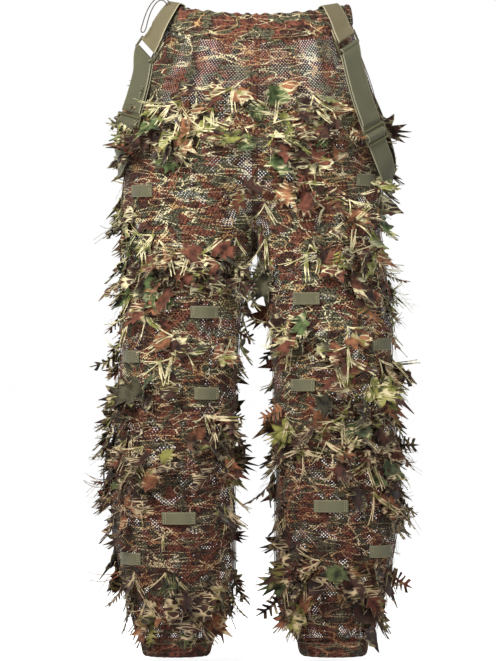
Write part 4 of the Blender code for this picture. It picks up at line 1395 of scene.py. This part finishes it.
def makeCord():
    stops = [(Vector(p), Vector((0, 0, 1))) for p in cordCut["route"]]
    fine = [place for place, _ in smoothStops(stops, 6)]
    curve = bpy.data.curves.new("elastic_cord", "CURVE")
    curve.dimensions = "3D"
    curve.bevel_depth = cordCut["diameter"] / 2
    curve.bevel_resolution = 3
    curve.use_fill_caps = True
    spline = curve.splines.new("POLY")
    spline.points.add(len(fine) - 1)
    for point, place in zip(spline.points, fine):
        point.co = (*place, 1.0)
    curve.materials.append(cloths["cord"])
    piece = linkObject("elastic_cord", curve)
    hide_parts("waist_drawcord")
    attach(piece, "root")


makeCord()

# stitches: short threads set along paths by a node tree
stitch = {"pitch": 0.0032, "length": 0.0021, "thickness": 0.0007}


def makeStitchTree():
    tree, given = newTree("stitches", [("Pitch", "Float"), ("Length", "Float"), ("Thickness", "Float"),
                                       ("Thread", "Material")])
    line = addNode(tree, "GeometryNodeMeshToCurve", links={"Mesh": given.outputs["Geometry"]})
    spaced = addNode(tree, "GeometryNodeResampleCurve", mode="LENGTH",
                     links={"Curve": line.outputs[0], "Length": given.outputs["Pitch"]})
    spots = addNode(tree, "GeometryNodeCurveToPoints", mode="EVALUATED",
                    links={"Curve": spaced.outputs[0]})
    facing = addNode(tree, "GeometryNodeInputNamedAttribute", data_type="FLOAT_VECTOR",
                     links={"Name": "facing"})
    turn = addNode(tree, "FunctionNodeAxesToRotation", primary_axis="X", secondary_axis="Z",
                   links={"Primary Axis": spots.outputs["Tangent"],
                          "Secondary Axis": facing.outputs[0]})
    thread = addNode(tree, "GeometryNodeMeshUVSphere", links={"Segments": 6, "Rings": 4, "Radius": 0.5})
    size = addNode(tree, "ShaderNodeCombineXYZ",
                   links={"X": given.outputs["Length"], "Y": given.outputs["Thickness"],
                          "Z": given.outputs["Thickness"]})
    sewn = addNode(tree, "GeometryNodeInstanceOnPoints",
                   links={"Points": spots.outputs[0], "Instance": thread.outputs[0],
                          "Rotation": turn.outputs[0], "Scale": size.outputs[0]})
    endTree(tree, sewn.outputs[0], given.outputs["Thread"])
    return tree


def outlinePath(side, fractions, levels, lift):
    return garment(side, fractions, levels, lift), outward(side, fractions, levels)


def casingPath(side, heightShare, lift, columns):
    t = np.linspace(0.0, 1.0, columns)
    top = waistRise(t)
    wave = waistGathers(side, t) * tabShelter(side, t)
    place = bandPoint(side, t, top - cut["waistband"], top,
                      np.full(columns, cut["waistband"] * heightShare),
                      lift + casing["waistGather"] * 0.25 * wave)
    return place, outward(side, t, top - cut["waistband"])


def bandPaths(stops, width, lift, start, end, insets):
    # lines of stitches along a strap, between two of its stops
    chosen = stops[start:end]
    paths = []
    for inset in insets:
        places, faces = [], []
        for k, (place, across) in enumerate(chosen):
            run = (chosen[min(k + 1, len(chosen) - 1)][0] - chosen[max(k - 1, 0)][0]).normalized()
            across = across.normalized()
            normal = across.cross(run).normalized()
            places.append(place + across * (width / 2 - inset if inset > 0 else -width / 2 - inset)
                          + normal * lift)
            faces.append(normal)
        paths.append((np.array(places), np.array(faces)))
    return paths


def stitchPaths():
    paths = {}

    def add(body, path):
        paths.setdefault(body, []).append(path)

    for side in sides:
        add("root", casingPath(side, 0.13, 0.0011, 260))
        t = np.linspace(0.0, 1.0, 120)
        low = np.full(120, cut["hem"])
        place = bandPoint(side, t, low, low + cut["hemBand"], np.full(120, cut["hemBand"] * 0.87),
                          0.0012 + casing["hemGather"] * 0.25 * hemGathers(side, t))
        add("shin_" + side, (place, outward(side, t, low)))
        for section, body in (("seat", "root"), ("thigh", "thigh_" + side), ("shin", "shin_" + side)):
            rows = np.linspace(rowStarts[section] + (6 if section == "seat" else 0),
                               rowStarts[section] + net["rows"][section] - 3, 90)
            for shift in (0.0042, -0.0042):
                t = np.full(90, 0.5 + shift)
                add(body, outlinePath(side, t, latticeLevel(t, rows), 0.0012))
        rows = np.linspace(rowStarts["seat"] + 6, rowStarts["seat"] + net["rows"]["seat"] - 6, 90)
        t = np.full(90, 0.9935)
        add("root", outlinePath(side, t, latticeLevel(t, rows), 0.0012))
        for name, x, rightZ, leftZ, width, body in foliageLoops:
            z, middle, half = loopSpan(side, x, rightZ, leftZ, width)
            for end in (-0.90, -0.78, 0.78, 0.90):
                t = np.full(6, middle + end * half)
                level = np.linspace(z - 0.0068, z + 0.0068, 6)
                bow = loopBow((end + 1) / 2) + 0.0009
                add(bodyOn(side, body), outlinePath(side, t, level, bow))
        stops = smoothStops(tabStops(side), 8)
        for path in bandPaths(stops, braces["width"] - 0.002, -0.0009, 34, 52, (0.0045, -0.0045)):
            add("root", path)
        strap = smoothStops(webbingStops(side), 4)
        count = len(strap)
        for path in bandPaths(strap, braces["width"], 0.0010, count - 14, count - 2, (0.004, -0.004)):
            add("root", path)
    return paths


def makeStitches():
    tree = makeStitchTree()
    for body, rows in sorted(stitchPaths().items()):
        points, edges, faces = [], [], []
        for place, facing in rows:
            base = len(points)
            points += [tuple(p) for p in place]
            faces += [tuple(f) for f in facing]
            edges += [(base + k, base + k + 1) for k in range(len(place) - 1)]
        mesh = bpy.data.meshes.new("stitches_" + body)
        mesh.from_pydata(points, edges, [])
        addAttribute(mesh, "facing", "FLOAT_VECTOR", faces)
        piece = linkObject("stitches_" + body, mesh)
        runTree(piece, tree, {"Pitch": stitch["pitch"], "Length": stitch["length"],
                              "Thickness": stitch["thickness"], "Thread": cloths["thread"]})
        piece.data.shade_smooth()
        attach(piece, body)


makeStitches()
print("cord and stitches ready")

# what stays from the frame gets its finish
for node, item in frame["nodes"].items():
    if "elastic" in node:
        item.data.materials.clear()
        item.data.materials.append(cloths["elastic"])
